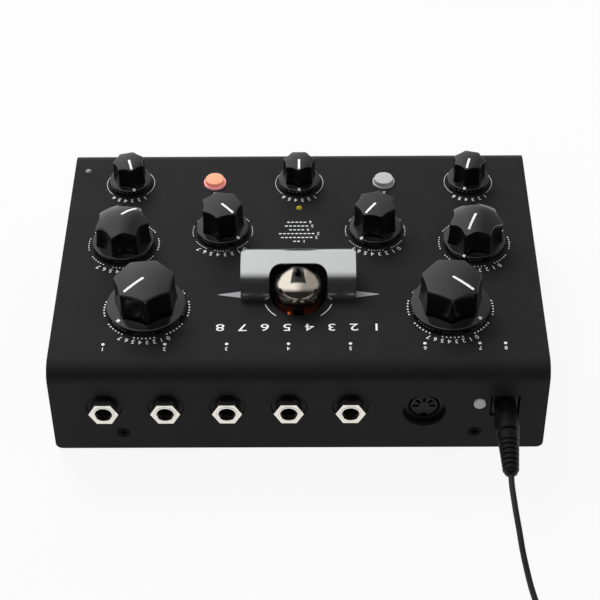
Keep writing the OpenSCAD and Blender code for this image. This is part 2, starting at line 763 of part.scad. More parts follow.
module cutoff_knob() knob(CUTOFF);
module delay_time_knob() knob(DELAY_TIME);
module drive_knob() knob(DRIVE);
module feedback_knob() knob(FEEDBACK);
module filter_mode_knob() knob(FILTER_MODE);
module delay_mode_knob() knob(DELAY_MODE);
module input_level_knob() knob(INPUT_LEVEL);
module resonance_knob() knob(RESONANCE);
module mix_knob() knob(MIX);
module cutoff_shaft() shaft(CUTOFF);
module delay_time_shaft() shaft(DELAY_TIME);
module drive_shaft() shaft(DRIVE);
module feedback_shaft() shaft(FEEDBACK);
module filter_mode_shaft() shaft(FILTER_MODE);
module delay_mode_shaft() shaft(DELAY_MODE);
module input_level_shaft() shaft(INPUT_LEVEL);
module resonance_shaft() shaft(RESONANCE);
module mix_shaft() shaft(MIX);

// Round button cap on a stem that runs in its switch
module panel_button(b) {
    in_case() translate([b[0], b[1], 0]) {
        translate([0, 0, cap_low]) cylinder(d = button_d, h = case_h + button_rise - chamfer - cap_low);
        translate([0, 0, case_h + button_rise - chamfer])
            cylinder(d1 = button_d, d2 = button_d - 2 * chamfer, h = chamfer);
        translate([0, 0, stem_low]) cylinder(d = stem_d, h = cap_low - stem_low);
    }
}

// Lit bypass button, left of the front
module bypass_button() color([0.95, 0.42, 0.28]) panel_button(BUTTONS[0]);

// Tap button, right of the front
module tap_button() color([0.75, 0.75, 0.75]) panel_button(BUTTONS[1]);

// Ring round a panel button, standing on its switch
module button_collar(b) {
    low = pot_board_top + switch_h;
    in_case() translate([b[0], b[1], low]) difference() {
        cylinder(d = collar_d, h = case_h + collar_rise - low);
        translate([0, 0, -cut]) cylinder(d = button_d + 2 * slide_gap, h = case_h);
    }
}

module bypass_collar() color([0.95, 0.5, 0.42]) button_collar(BUTTONS[0]);
module tap_collar() color([0.72, 0.72, 0.72]) button_collar(BUTTONS[1]);

// Small button through the rear wall and the cover
module option_button() {
    color([0.78, 0.78, 0.78]) in_case() {
        facing_rear(option_x, option_low, option_z)
            cylinder(d = option_d, h = rear_y + option_rise - option_low);
        facing_rear(option_x, option_switch_y - 4, option_z)
            cylinder(d = option_stem_d, h = option_low - option_switch_y + 4);
    }
}

// Switch bodies: two on the panel board and one on the main board
module push_switches() {
    color([0.12, 0.12, 0.13]) in_case() {
        for (b = BUTTONS) translate([b[0], b[1], pot_board_top]) difference() {
            translate([-switch_w / 2, -switch_w / 2, 0]) cube([switch_w, switch_w, switch_h]);
            translate([0, 0, stem_room / 2]) cylinder(d = stem_d + 2 * slide_gap, h = switch_h);
        }
        difference() {
            translate([option_x - option_switch_w / 2, option_switch_y - option_switch_l, main_top])
                cube([option_switch_w, option_switch_l, option_z + option_switch_w / 2 - main_top]);
            facing_rear(option_x, option_switch_y - 4 - option_travel - stem_room, option_z)
                cylinder(d = option_stem_d + 2 * slide_gap, h = option_switch_l);
        }
    }
}

// Lamp with a round nose through the panel and a base flange on the panel board
module lamp(p) {
    flange_h = 1;
    in_case() translate([p[0], p[1], pot_board_top]) {
        cylinder(d = lamp_d + 0.8, h = flange_h);
        translate([0, 0, flange_h]) cylinder(d = lamp_d, h = case_h - pot_board_top - flange_h);
        translate([0, 0, case_h - pot_board_top]) cylinder(d1 = lamp_d, d2 = lamp_d - 1, h = 0.8);
    }
}

module level_lamp() color([0.85, 0.65, 0.1]) lamp(LEVEL_LAMP);
module power_lamp() color([0.8, 0.8, 0.78]) lamp(POWER_LAMP);

// Half profile of a domed tube, from its seat to the crown
function dome_profile(r, low, crown, rise) = concat(
    [[0, low], [r, low]],
    [for (i = [0 : 2 * quarter]) let (a = 45 * i / quarter) [r * cos(a), crown - rise + rise * sin(a)]]);

// Glass envelope, hollow and closed, with the tip where it was drawn off
module valve_glass() {
    color([0.75, 0.75, 0.78, 0.5]) in_case() translate([0, valve_y, 0]) difference() {
        union() {
            rotate_extrude() polygon(dome_profile(valve_d / 2, valve_seat, valve_top, dome_h));
            translate([0, 0, valve_top - glass_t / 2]) {
                cylinder(r1 = tip_r + glass_t / 2, r2 = tip_r * 0.6, h = tip_h * 0.4 + glass_t / 2);
                translate([0, 0, tip_h * 0.4 + glass_t / 2])
                    cylinder(r1 = tip_r * 0.6, r2 = tip_r * 0.2, h = tip_h * 0.6);
            }
        }
        rotate_extrude() polygon(dome_profile(valve_d / 2 - glass_t, valve_seat + glass_base_t,
            valve_top - glass_t, dome_h - glass_t));
    }
}

// Anode boxes between two mica discs, with a support rod down to the glass base
module valve_electrodes() {
    mica_d = valve_d - 2 * glass_t - 0.6;
    low = valve_seat + 8;
    high = valve_top - dome_h - 4.5;
    color([0.35, 0.35, 0.36]) in_case() translate([0, valve_y, 0]) {
        for (z = [low, high]) translate([0, 0, z]) cylinder(d = mica_d, h = 0.6);
        for (x = [-1, 1]) translate([x * 4 - 2.6, -3.5, low + 0.6]) cube([5.2, 7, high - low - 0.6]);
        for (x = [-1, 1]) translate([x * 4, 0, valve_seat + glass_base_t])
            cylinder(d = 0.8, h = low - valve_seat - glass_base_t);
        translate([0, 0, high + 0.6]) cylinder(d = 0.8, h = 4);
        translate([0, 0, high + 4.6]) cylinder(d = 7, h = 0.8);
    }
}

// Places of the nine valve pins: ten steps of a circle with one left out
module each_valve_pin() {
    for (i = [1 : 9]) translate([0, valve_y, 0]) rotate([0, 0, i * 36])
        translate([pin_circle_d / 2, 0, valve_seat - pin_l]) children();
}

module valve_pins() {
    color([0.8, 0.8, 0.8]) in_case() each_valve_pin() cylinder(d = valve_pin_d, h = pin_l, $fn = 24);
}

// Round socket from the valve board up to the valve's seat
module valve_socket() {
    color([0.85, 0.83, 0.78]) in_case() difference() {
        translate([0, valve_y, valve_board_top]) cylinder(d = valve_d - 1, h = valve_seat - valve_board_top);
        each_valve_pin() translate([0, 0, -stem_room])
            cylinder(d = valve_pin_d + 2 * screw_gap, h = pin_l + 2 * cut, $fn = 24);
    }
}

// Tabs under the guard's two long edges, widened by a clearance for their slots
module guard_tabs(gap) {
    near_x = (notch_w + guard_l) / 4;
    far_x = near_x / 2;
    for (side = [-1, 1]) {
        guard_tab(side * near_x, guard_y + guard_r - guard_t / 2, gap);
        guard_tab(side * far_x, guard_y - guard_r + guard_t / 2, gap);
    }
}

// One tab; its slot also rises a little over the panel
module guard_tab(x, y, gap) {
    up = gap > 0 ? cut : 0;
    translate([x - tab_w / 2 - gap, y - guard_t / 2 - gap, case_h - tab_l - gap])
        cube([tab_w + 2 * gap, guard_t + 2 * gap, tab_l + gap + up]);
}

// Arched guard with a notch for the valve and two rounded far corners
module valve_guard() {
    far = guard_y - guard_r;
    near = guard_y + guard_r;
    corner_y = far + guard_corner_r + 2;
    half_l = guard_l / 2;
    plan = concat(
        [[half_l, near + cut]],
        arc([half_l - guard_corner_r, corner_y], guard_corner_r, 0, -90, 6),
        [[half_l - guard_corner_r, far - cut], [guard_corner_r - half_l, far - cut]],
        arc([guard_corner_r - half_l, corner_y], guard_corner_r, 270, 180, 6),
        [[-half_l, near + cut]]);
    notch = concat(
        [[notch_w / 2, near + cut]],
        arc([notch_w / 2 - notch_r, notch_y + notch_r], notch_r, 0, -90, 6),
        arc([notch_r - notch_w / 2, notch_y + notch_r], notch_r, 270, 180, 6),
        [[-notch_w / 2, near + cut]]);
    color([0.8, 0.81, 0.83]) in_case() {
        guard_tabs(0);
        difference() {
            intersection() {
                translate([-half_l, guard_y, case_h]) rotate([0, 90, 0]) difference() {
                    cylinder(r = guard_r, h = guard_l);
                    translate([0, 0, -cut]) cylinder(r = guard_r - guard_t, h = guard_l + 2 * cut);
                }
                translate([0, 0, case_h]) linear_extrude(guard_r + cut) polygon(plan);
            }
            translate([0, 0, case_h - cut]) linear_extrude(guard_r + 3 * cut) polygon(notch);
        }
    }
}

// Jack socket bodies on the main board, behind the rear wall
module jack_bodies() {
    cavity_d = jack_bush_d + screw_gap;
    color([0.1, 0.1, 0.11]) in_case() for (x = JACKS) difference() {
        translate([x - jack_body_w / 2, wall_in - jack_body_l, main_top])
            cube([jack_body_w, jack_body_l, 2 * jack_rise]);
        facing_rear(x, wall_in - jack_body_l + 2, jack_z) cylinder(d = cavity_d, h = jack_body_l);
    }
}

// Threaded bushes through the rear wall, bored for the plug
module jack_bushes() {
    color([0.75, 0.75, 0.76]) in_case() for (x = JACKS) facing_rear(x, wall_in - 2, jack_z) difference() {
        cylinder(d = jack_bush_d, h = rear_y + rear_reach - wall_in + 2);
        translate([0, 0, -cut]) cylinder(d = jack_bore_d, h = rear_y + rear_reach - wall_in + 2 + 2 * cut);
    }
}

// Stepped insulating collars in the cover's clearance holes
module jack_collars() {
    boss_d = jack_nut_af - 0.6;
    color([0.09, 0.09, 0.1]) in_case() for (x = JACKS) facing_rear(x, wall_out, jack_z) difference() {
        union() {
            cylinder(d = jack_hole_d - 4 * screw_gap, h = collar_face - wall_out);
            cylinder(d = boss_d, h = nut_face - jack_nut_t - wall_out);
        }
        translate([0, 0, -cut]) cylinder(d = jack_bush_d + 2 * screw_gap, h = rear_reach + 3 * cut);
    }
}

// Hexagon nuts on the bushes
module jack_nuts() {
    color([0.82, 0.81, 0.78]) in_case() for (x = JACKS) facing_rear(x, nut_face - jack_nut_t, jack_z)
        difference() {
            cylinder(d = jack_nut_af / cos(30), h = jack_nut_t, $fn = 6);
            translate([0, 0, -cut]) cylinder(d = jack_bush_d + screw_gap, h = jack_nut_t + 2 * cut);
        }
}

// Round five-way socket behind the rear wall: a face with a ring groove and five contact slots
module din_socket() {
    groove_d = 13.8;
    disc_d = 11.9;
    groove_h = 8;
    slot_in = 2.3;
    slot_l = 2.7;
    slot_w = 1.4;
    flange_w = 26;
    flange_h = 22;
    flange_t = 1.5;
    key_w = 2.8;
    key_h = 2.4;
    key_l = 2;
    color([0.08, 0.08, 0.09]) in_case() facing_rear(din_x, wall_in, din_z) difference() {
        union() {
            translate([0, 0, -din_l]) cylinder(d = din_hole_d - 1, h = din_l);
            translate([-flange_w / 2, -flange_h / 2, -flange_t]) cube([flange_w, flange_h, flange_t]);
            translate([-din_foot_w / 2, din_z - main_top - din_foot_h, -din_l])
                cube([din_foot_w, din_foot_h, din_l - 3]);
        }
        difference() {
            translate([0, 0, -groove_h]) cylinder(d = groove_d, h = groove_h + cut);
            translate([0, 0, -groove_h - cut]) cylinder(d = disc_d, h = groove_h + 3 * cut);
        }
        for (i = [-2 : 2]) rotate([0, 0, i * 45 - 90]) translate([slot_in, -slot_w / 2, -groove_h])
            cube([slot_l, slot_w, groove_h + cut]);
        translate([-key_w / 2, disc_d / 2 - key_w / 2, -key_l]) cube([key_w, key_h, key_l + cut]);
    }
}

// Power socket: a block on the main board with a nose through the wall, bored for the plug
module dc_socket() {
    hole_l = barrel_l + 0.5;
    color([0.07, 0.07, 0.08]) in_case() difference() {
        union() {
            translate([dc_x - dc_w / 2, dc_face - dc_body_l, main_top])
                cube([dc_w, dc_body_l - (dc_face - wall_in), dc_z + dc_h / 2 - main_top]);
            translate([dc_x - dc_w / 2, dc_face - dc_body_l, dc_z - dc_h / 2]) cube([dc_w, dc_body_l, dc_h]);
        }
        facing_rear(dc_x, dc_face - hole_l, dc_z) cylinder(d = barrel_d + 2 * barrel_gap, h = hole_l + cut);
    }
}

// Metal barrel of the power plug, in its socket
module plug_barrel() {
    color([0.8, 0.8, 0.8]) in_case() facing_rear(dc_x, dc_face - barrel_l, dc_z) difference() {
        cylinder(d = barrel_d, h = barrel_l);
        translate([0, 0, -cut]) cylinder(d = 2.1, h = barrel_l - 2 + cut);
    }
}

// Moulded body of the power plug: a neck, then a wider grip
module dc_plug() {
    neck_r = 4.7;
    grip_r = 5.4;
    waist_r = 4.6;
    l = plug_l;
    color([0.06, 0.06, 0.065]) in_case() facing_rear(dc_x, dc_face, dc_z) rotate_extrude()
        polygon([[0, 0], [neck_r, 0], [neck_r, 5.5], [grip_r, 8.5], [grip_r, 13.5], [waist_r, l], [0, l]]);
}

// Ribbed boot that droops a little from the plug to the cord
module plug_boot() {
    span = ROUTE[0] - boot_start;
    l = norm(span);
    droop = atan2(span[2], span[1]);
    ribs = 6;
    first_r = 4.6;
    last_r = 3.5;
    rib_zone = 14;
    rib = rib_zone / ribs;
    groove = 0.7;
    outline = [for (i = [0 : ribs - 1]) let (r = first_r - (first_r - last_r) * i / ribs)
        each [[r, i * rib], [r, (i + 0.6) * rib],
            [r - groove, (i + 0.65) * rib], [r - groove, (i + 0.95) * rib]]];
    nose = arc([last_r - 2, l - 2], 2, 0, 90, 4);
    color([0.06, 0.06, 0.065]) difference() {
        translate(boot_start) rotate([droop - 90, 0, 0]) rotate_extrude() polygon(concat(
            [[0, -2], [first_r, -2]], outline, [[last_r, rib_zone]], nose, [[0, l]]));
        translate(boot_start - [10, 10, 10]) cube([20, 10, 20]);
    }
}

// Sweeps a round tube along points; every ring faces along the line there
function heading(p, i) = let (d = p[min(i + 1, len(p) - 1)] - p[max(i - 1, 0)]) d / norm(d);
function ring(p, i, r, sides) =
    let (t = heading(p, i), c = cross([0, 0, 1], t), u = c / norm(c), v = cross(t, u))
    [for (k = [0 : sides - 1]) p[i] + r * (cos(360 * k / sides) * u + sin(360 * k / sides) * v)];
module tube(p, r, sides) {
    last = len(p) - 1;
    points = [for (i = [0 : last]) each ring(p, i, r, sides)];
    walls = [for (i = [0 : last - 1], k = [0 : sides - 1])
        let (a = i * sides + k, b = i * sides + (k + 1) % sides)
        each [[a, a + sides, b], [b, a + sides, b + sides]]];
    start = [for (k = [1 : sides - 2]) [0, k, k + 1]];
    end = [for (k = [1 : sides - 2]) [last * sides, last * sides + k + 1, last * sides + k]];
    polyhedron(points, concat(walls, start, end));
}

// Free stretch of the cord, from the boot down to the coil
module cord_lead() color([0.05, 0.05, 0.05]) tube(ROUTE, cord_d / 2, cord_sides);

// Radius and height of the coil after a number of turns: a layer winds in or out at a steady
// rate, then half a turn at the same radius climbs to the next layer
function coil_layer(t) = min(coil_layers - 1, floor(t / (layer_turns + climb_turns)));
function coil_at(t) =
    let (n = coil_layer(t), s = t - n * (layer_turns + climb_turns), in = n % 2 == 0,
        way = min(s, layer_turns) * coil_step, climb = max(0, s - layer_turns) / climb_turns,
        r = in ? coil_r - way : coil_inner_r + way, a = 180 - 360 * t)
    [coil_x + r * cos(a), coil_y + r * sin(a), coil_z + (n + climb) * coil_step];
coil_rings = ceil(coil_turns * loop_rings);
COIL = concat(
    [[coil_x - coil_r, coil_y - coil_run, coil_z]],
    [for (i = [0 : coil_rings]) coil_at(coil_turns * i / coil_rings)],
    [[coil_x + coil_end_run, coil_y + coil_r, adapter_z]]);

// Least distance between points of the coil that lie over half a turn apart, less the cord
coil_gap = min([for (i = [0 : 2 : len(COIL) - 1], j = [i + 13 : len(COIL) - 1])
    norm(COIL[i] - COIL[j])]) - cord_d;
STEPS = [for (i = [1 : len(COIL) - 1]) norm(COIL[i] - COIL[i - 1])];
coil_length = STEPS * [for (s = STEPS) 1];
echo(coil_gap = coil_gap, coil_length = coil_length);

module cord_coil() color([0.05, 0.05, 0.05]) tube(COIL, cord_d / 2, coil_sides);

// Strap round the bundle of turns, on the side away from both ends; the inmost turn bulges
// toward the strap's two edges, so its opening is wider there by that sag
module cord_tie() {
    room = cord_d + 2 * tie_gap;
    inmost_r = coil_inner_r - cord_d / 2;
    sag = inmost_r - sqrt(pow(inmost_r, 2) - pow(tie_w / 2, 2));
    inner = [coil_r - coil_inner_r + room + sag, (coil_layers - 1) * coil_step + room];
    middle = [(coil_r + coil_inner_r - sag) / 2, coil_z + (coil_layers - 1) * coil_step / 2];
    color([0.1, 0.1, 0.1]) translate([coil_x, coil_y, 0]) rotate([0, 0, -35])
        translate([middle[0], 0, middle[1]]) rotate([90, 0, 0]) linear_extrude(tie_w, center = true)
            difference() {
                square(inner + 2 * [tie_t, tie_t], center = true);
                square(inner, center = true);
            }
}

// Mains adapter lying beside the coil, with a short boot round the cord's end
module adapter_body() {
    color([0.07, 0.07, 0.075]) translate([adapter_x, adapter_y, adapter_z]) {
        translate([0, 0, -adapter_z]) linear_extrude(adapter_h) translate([adapter_l / 2, 0])
            polygon(rounded(adapter_l, adapter_w, adapter_corner_r));
        translate([-adapter_boot_l, 0, 0]) rotate([0, 90, 0])
            cylinder(r1 = cord_d / 2 + 0.6, r2 = cord_d / 2 + 2, h = adapter_boot_l);
    }
}

// Two round mains pins
module adapter_pins() {
    color([0.8, 0.8, 0.78]) for (side = [-1, 1])
        translate([adapter_x + adapter_l, adapter_y + side * prong_half, adapter_h / 2]) rotate([0, 90, 0]) {
            cylinder(d = prong_d, h = prong_l - prong_d / 4);
            translate([0, 0, prong_l - prong_d / 4])
                cylinder(d1 = prong_d, d2 = prong_d / 2, h = prong_d / 4);
        }
}

top_cover();
base_tray();
cover_screws();
rubber_feet();
main_board();
panel_board();
valve_board();
board_standoffs();
board_screws();
board_chips();
board_capacitors();
link_headers();
link_ribbon();
potentiometers();
panel_nuts();
cutoff_knob();
delay_time_knob();
drive_knob();
feedback_knob();
filter_mode_knob();
delay_mode_knob();
input_level_knob();
resonance_knob();
mix_knob();
cutoff_shaft();
delay_time_shaft();
drive_shaft();
feedback_shaft();
filter_mode_shaft();
delay_mode_shaft();
input_level_shaft();
resonance_shaft();
mix_shaft();
bypass_button();
tap_button();
option_button();
bypass_collar();
tap_collar();
push_switches();
level_lamp();
power_lamp();
valve_glass();
valve_electrodes();
valve_pins();
valve_socket();
valve_guard();
jack_bodies();
jack_bushes();
jack_collars();
jack_nuts();
din_socket();
dc_socket();
plug_barrel();
dc_plug();
plug_boot();
cord_lead();
cord_coil();
cord_tie();
adapter_body();
adapter_pins();
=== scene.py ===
import math

import bmesh
import bpy
import numpy as np
from mathutils import Matrix


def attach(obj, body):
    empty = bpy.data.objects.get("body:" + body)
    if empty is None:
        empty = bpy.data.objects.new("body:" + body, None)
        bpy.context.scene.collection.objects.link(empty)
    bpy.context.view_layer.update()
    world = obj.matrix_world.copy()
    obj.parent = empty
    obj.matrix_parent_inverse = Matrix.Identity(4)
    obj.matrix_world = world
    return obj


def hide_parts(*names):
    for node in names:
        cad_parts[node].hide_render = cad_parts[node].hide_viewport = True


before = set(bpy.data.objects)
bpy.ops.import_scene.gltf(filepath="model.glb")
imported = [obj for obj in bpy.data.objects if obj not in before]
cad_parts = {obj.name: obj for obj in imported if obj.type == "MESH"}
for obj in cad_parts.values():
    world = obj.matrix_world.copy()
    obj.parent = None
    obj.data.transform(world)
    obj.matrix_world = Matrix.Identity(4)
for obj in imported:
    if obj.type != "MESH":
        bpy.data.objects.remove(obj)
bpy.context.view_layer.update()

# Studio: the camera stands on the side of the rear sockets and looks down at a little over forty degrees. The
# floor is one plain pale sheet that ends beyond the adapter. A wide softbox past the front edge lights the
# panel, and the side behind the camera stays dark, so bright metal turns from white to grey over its curves.
MM = 0.001
VIEW_TARGET = np.array([-0.274, -2.191, 21.528]) * MM
VIEW_DISTANCE = 833.453 * MM
VIEW_AZIMUTH = math.radians(-0.73)
VIEW_ELEVATION = math.radians(43.289)
VIEW_ROLL = math.radians(-0.728)
VIEW_LENS = 106.33
GLOW = 0.776
GLOW_LEAST = 0.02
GLOW_LEAN = 0.6
SIDE_FADE = 1.7
SIDE_MIDDLE = 0.92
SIDE_LEAST = 0.4
SIDE_MOST = 1.28
BOUNCE = 0.336
FLOOR_COLOUR = (0.6, 0.6, 0.6, 1)
FLOOR_WHITE = 0.91
FLOOR_REACH = 4
FLOOR_END = 0.33


def axes_matrix(right, up, back, at):
    """The matrix of a camera or lamp whose own axes are these, at a place."""
    placed = np.eye(4)
    placed[:3, :4] = np.column_stack((right, up, back, at))
    return Matrix(placed.tolist())


def view_matrix():
    """The camera's own axes: right and up, turned by the roll, and the way back from the target."""
    level = math.cos(VIEW_ELEVATION)
    back = np.array([math.sin(VIEW_AZIMUTH) * level, math.cos(VIEW_AZIMUTH) * level,
                     math.sin(VIEW_ELEVATION)])
    flat_right = np.cross(-back, (0, 0, 1))
    flat_right /= np.linalg.norm(flat_right)
    flat_up = np.cross(flat_right, -back)
    right = math.cos(VIEW_ROLL) * flat_right + math.sin(VIEW_ROLL) * flat_up
    up = math.cos(VIEW_ROLL) * flat_up - math.sin(VIEW_ROLL) * flat_right
    return axes_matrix(right, up, back, VIEW_TARGET + back * VIEW_DISTANCE)


camera_data = bpy.data.cameras.new("camera")
camera_data.lens = VIEW_LENS
camera_data.sensor_width = 36
camera_data.clip_start = 0.01
camera_data.clip_end = 20
camera = bpy.data.objects.new("camera", camera_data)
camera.matrix_world = view_matrix()
bpy.context.scene.collection.objects.link(camera)
bpy.context.scene.camera = camera
bpy.context.scene.view_settings.view_transform = "Standard"


def feed(tree, node, inputs):
    """Gives a node's inputs plain values, or links them where a value is another node's output."""
    for name, value in inputs.items():
        if isinstance(value, bpy.types.NodeSocket):
            tree.links.new(value, node.inputs[name])
        else:
            node.inputs[name].default_value = value


def node_in(tree, kind, inputs=None, **properties):
    """A new node of a kind, with its properties set by name and its inputs fed."""
    made = tree.nodes.new(kind)
    for name, value in properties.items():
        setattr(made, name, value)
    feed(tree, made, inputs or {})
    return made


def maths(tree, operation, *values, clamp=False):
    """A Math node on sockets or plain numbers; returns its result."""
    made = node_in(tree, "ShaderNodeMath", dict(enumerate(values)), operation=operation, use_clamp=clamp)
    return made.outputs[0]


def seen_rays(tree):
    """The rays' own kinds, and one for rays from the camera, from gloss and through glass."""
    kinds = node_in(tree, "ShaderNodeLightPath").outputs
    seen = maths(tree, "MAXIMUM", kinds["Is Camera Ray"], kinds["Is Glossy Ray"])
    return kinds, maths(tree, "MAXIMUM", seen, kinds["Is Transmission Ray"])


world = bpy.data.worlds.new("studio")
world.use_nodes = True
bpy.context.scene.world = world
air = world.node_tree
air.nodes.clear()
air_way = node_in(air, "ShaderNodeTexCoord").outputs["Generated"]
air_axes = node_in(air, "ShaderNodeSeparateXYZ", {0: air_way}).outputs
# The bright side is overhead and away from the camera; it fades out over the plane y = 0.6 z, and toward -X
away = maths(air, "MULTIPLY", air_axes["Y"], -1.0)
bright_side = maths(air, "MULTIPLY_ADD", maths(air, "MULTIPLY_ADD", air_axes["Z"], GLOW_LEAN, away), 2.0, 0.5,
                    clamp=True)
left_side = maths(air, "MULTIPLY_ADD", air_axes["X"], SIDE_FADE, SIDE_MIDDLE)
bright_left = maths(air, "MINIMUM", maths(air, "MAXIMUM", left_side, SIDE_LEAST), SIDE_MOST)
studio_glow = maths(air, "MULTIPLY_ADD", maths(air, "MULTIPLY", bright_side, bright_left), GLOW, GLOW_LEAST)
air_kinds, air_seen = seen_rays(air)
for_gloss = maths(air, "MULTIPLY", air_seen, studio_glow)
for_bounce = maths(air, "MULTIPLY", maths(air, "SUBTRACT", 1.0, air_seen), BOUNCE)
strength = maths(air, "MAXIMUM", maths(air, "ADD", for_gloss, for_bounce), air_kinds["Is Camera Ray"])
air_light = node_in(air, "ShaderNodeBackground", {"Color": (1, 1, 1, 1), "Strength": strength})
node_in(air, "ShaderNodeOutputWorld", {0: air_light.outputs[0]})


def softbox(name, at, aim, size, power):
    """A square area lamp at a place, turned to shine at a point, that isn't mirrored itself."""
    data = bpy.data.lights.new(name, "AREA")
    data.size = size
    data.energy = power
    lamp = bpy.data.objects.new(name, data)
    back = np.array(at, float) - np.array(aim, float)
    back /= np.linalg.norm(back)
    right = np.cross((0, 0, 1), back)
    right /= np.linalg.norm(right)
    lamp.matrix_world = axes_matrix(right, np.cross(back, right), back, at)
    lamp.visible_glossy = False
    lamp.visible_transmission = False
    bpy.context.scene.collection.objects.link(lamp)


softbox("key_softbox", (0.42, -0.75, 1.0), (0, 0, 0.04), 0.7, 17.5)
softbox("side_fill", (-0.9, 0.3, 0.9), (0, 0, 0.03), 0.5, 2.6)
softbox("socket_fill", (0.25, 1.15, 0.55), (0, 0.08, 0.03), 0.5, 0.7)

floor_mesh = bpy.data.meshes.new("floor")
floor_mesh.from_pydata([(-FLOOR_REACH, -FLOOR_REACH, 0), (FLOOR_REACH, -FLOOR_REACH, 0),
                        (FLOOR_REACH, FLOOR_END, 0), (-FLOOR_REACH, FLOOR_END, 0)], [], [(0, 1, 2, 3)])
floor = bpy.data.objects.new("floor", floor_mesh)
bpy.context.scene.collection.objects.link(floor)
floor_finish = bpy.data.materials.new("pale_floor")
floor_finish.use_nodes = True
sheet = floor_finish.node_tree
sheet.nodes.clear()
sheet_matte = node_in(sheet, "ShaderNodeBsdfDiffuse", {"Color": FLOOR_COLOUR})
sheet_white = node_in(sheet, "ShaderNodeEmission", {"Strength": 1.0})
sheet_share = maths(sheet, "MULTIPLY", seen_rays(sheet)[1], FLOOR_WHITE)
sheet_mix = node_in(sheet, "ShaderNodeMixShader", {0: sheet_share, 1: sheet_matte.outputs[0],
                                                   2: sheet_white.outputs[0]})
node_in(sheet, "ShaderNodeOutputMaterial", {0: sheet_mix.outputs[0]})
floor_mesh.materials.append(floor_finish)

# Power lead: a thin round cord with a smooth black jacket leaves the plug's boot, drops to the floor and runs
# on out of view. There the rest is wound into a neat coil that a strap holds, and it ends in a moulded mains
# adapter with a finely spark-eroded skin and two round nickel pins.
CORD_D = 2.6
CORD_SIDES = 14
PLUG_X = -90.0
BOOT_START = np.array([PLUG_X, 90.0, 29.0])
COIL_LOW = 2.4
FALL = np.array([
    (0, 20, 0.85), (0, 25, 0.812), (-0.4, 31, 0.76), (-1, 37, 0.68), (-2, 44, 0.556),
    (-3, 51, 0.414), (-4.4, 58, 0.271), (-6, 65, 0.143), (-8, 72, 0.041), (-10, 79, -0.019),
    (-12, 85, -0.034), (-13.6, 90, -0.03), (-14.7, 94.5, -0.012), (-15, 98, 0), (-15, 101, 0),
])
FALL_POINTS = 6
COIL_R = 21.0
COIL_STEP = 3.5
COIL_LAYERS = 4
COIL_RUN = 3.0
COIL_END_RUN = 27.0
COIL_POINTS = 40
LAYER_TURNS = 3.4375
CLIMB_TURNS = 0.5


def lead_route():
    """The cord's points, each as a share of the height left, joined by cubics whose slopes are half the
    chords."""
    height = np.maximum(CORD_D / 2, COIL_LOW + FALL[:, 2] * (BOOT_START[2] - COIL_LOW))
    knots = np.column_stack((BOOT_START[0] + FALL[:, 0], BOOT_START[1] + FALL[:, 1], height))
    padded = np.vstack((2 * knots[0] - knots[1], knots, 2 * knots[-1] - knots[-2]))
    before, start, end, after = padded[:-3], padded[1:-2], padded[2:-1], padded[3:]
    s = np.linspace(0, 1, FALL_POINTS, endpoint=False)[None, :, None]
    slope_a = (end - before)[:, None] / 2
    slope_b = (after - start)[:, None] / 2
    curve = ((2 * s**3 - 3 * s**2 + 1) * start[:, None] + (s**3 - 2 * s**2 + s) * slope_a
             + (3 * s**2 - 2 * s**3) * end[:, None] + (s**3 - s**2) * slope_b)
    return curve.reshape(-1, 3)


def coil_route():
    """Layers wind in and out by a step a turn; between them half a turn climbs a step at a steady radius."""
    period = LAYER_TURNS + CLIMB_TURNS
    turns = COIL_LAYERS * LAYER_TURNS + (COIL_LAYERS - 1) * CLIMB_TURNS
    t = np.linspace(0, turns, int(turns * COIL_POINTS) + 1)
    layer = np.minimum(COIL_LAYERS - 1, np.floor(t / period))
    wound = np.minimum(t - layer * period, LAYER_TURNS) * COIL_STEP
    climb = np.maximum(0, t - layer * period - LAYER_TURNS) / CLIMB_TURNS
    inner = COIL_R - LAYER_TURNS * COIL_STEP
    radius = np.where(layer % 2 == 0, COIL_R - wound, inner + wound)
    angle = np.pi - 2 * np.pi * t
    centre = BOOT_START[:2] + FALL[-1, :2] + (COIL_R, COIL_RUN)
    flat = np.column_stack((centre[0] + radius * np.cos(angle), centre[1] + radius * np.sin(angle)))
    wind = np.column_stack((flat, COIL_LOW + (layer + climb) * COIL_STEP))
    run_in = wind[0] - np.outer((1, 0.5), (0, COIL_RUN, 0))
    run_out = wind[-1] + np.outer(np.linspace(0.1, 1, 10), (COIL_END_RUN, 0, 0))
    return np.vstack((run_in, wind, run_out))


def swept(path, radius, sides):
    """A round tube: every ring of the grid faces along the path, with one axis of the ring kept level."""
    along = np.gradient(path, axis=0)
    along /= np.linalg.norm(along, axis=1, keepdims=True)
    level = np.cross((0, 0, 1), along)
    level /= np.linalg.norm(level, axis=1, keepdims=True)
    upright = np.cross(along, level)
    a = np.linspace(0, 2 * np.pi, sides, endpoint=False)
    ring = np.cos(a)[None, :, None] * level[:, None] + np.sin(a)[None, :, None] * upright[:, None]
    return path[:, None] + radius * ring


def shade(mesh, smooth):
    """Shades a mesh smooth except over edges that turn by more than an angle in degrees."""
    mesh.shade_smooth()
    mesh.set_sharp_from_angle(angle=math.radians(smooth))
    return mesh


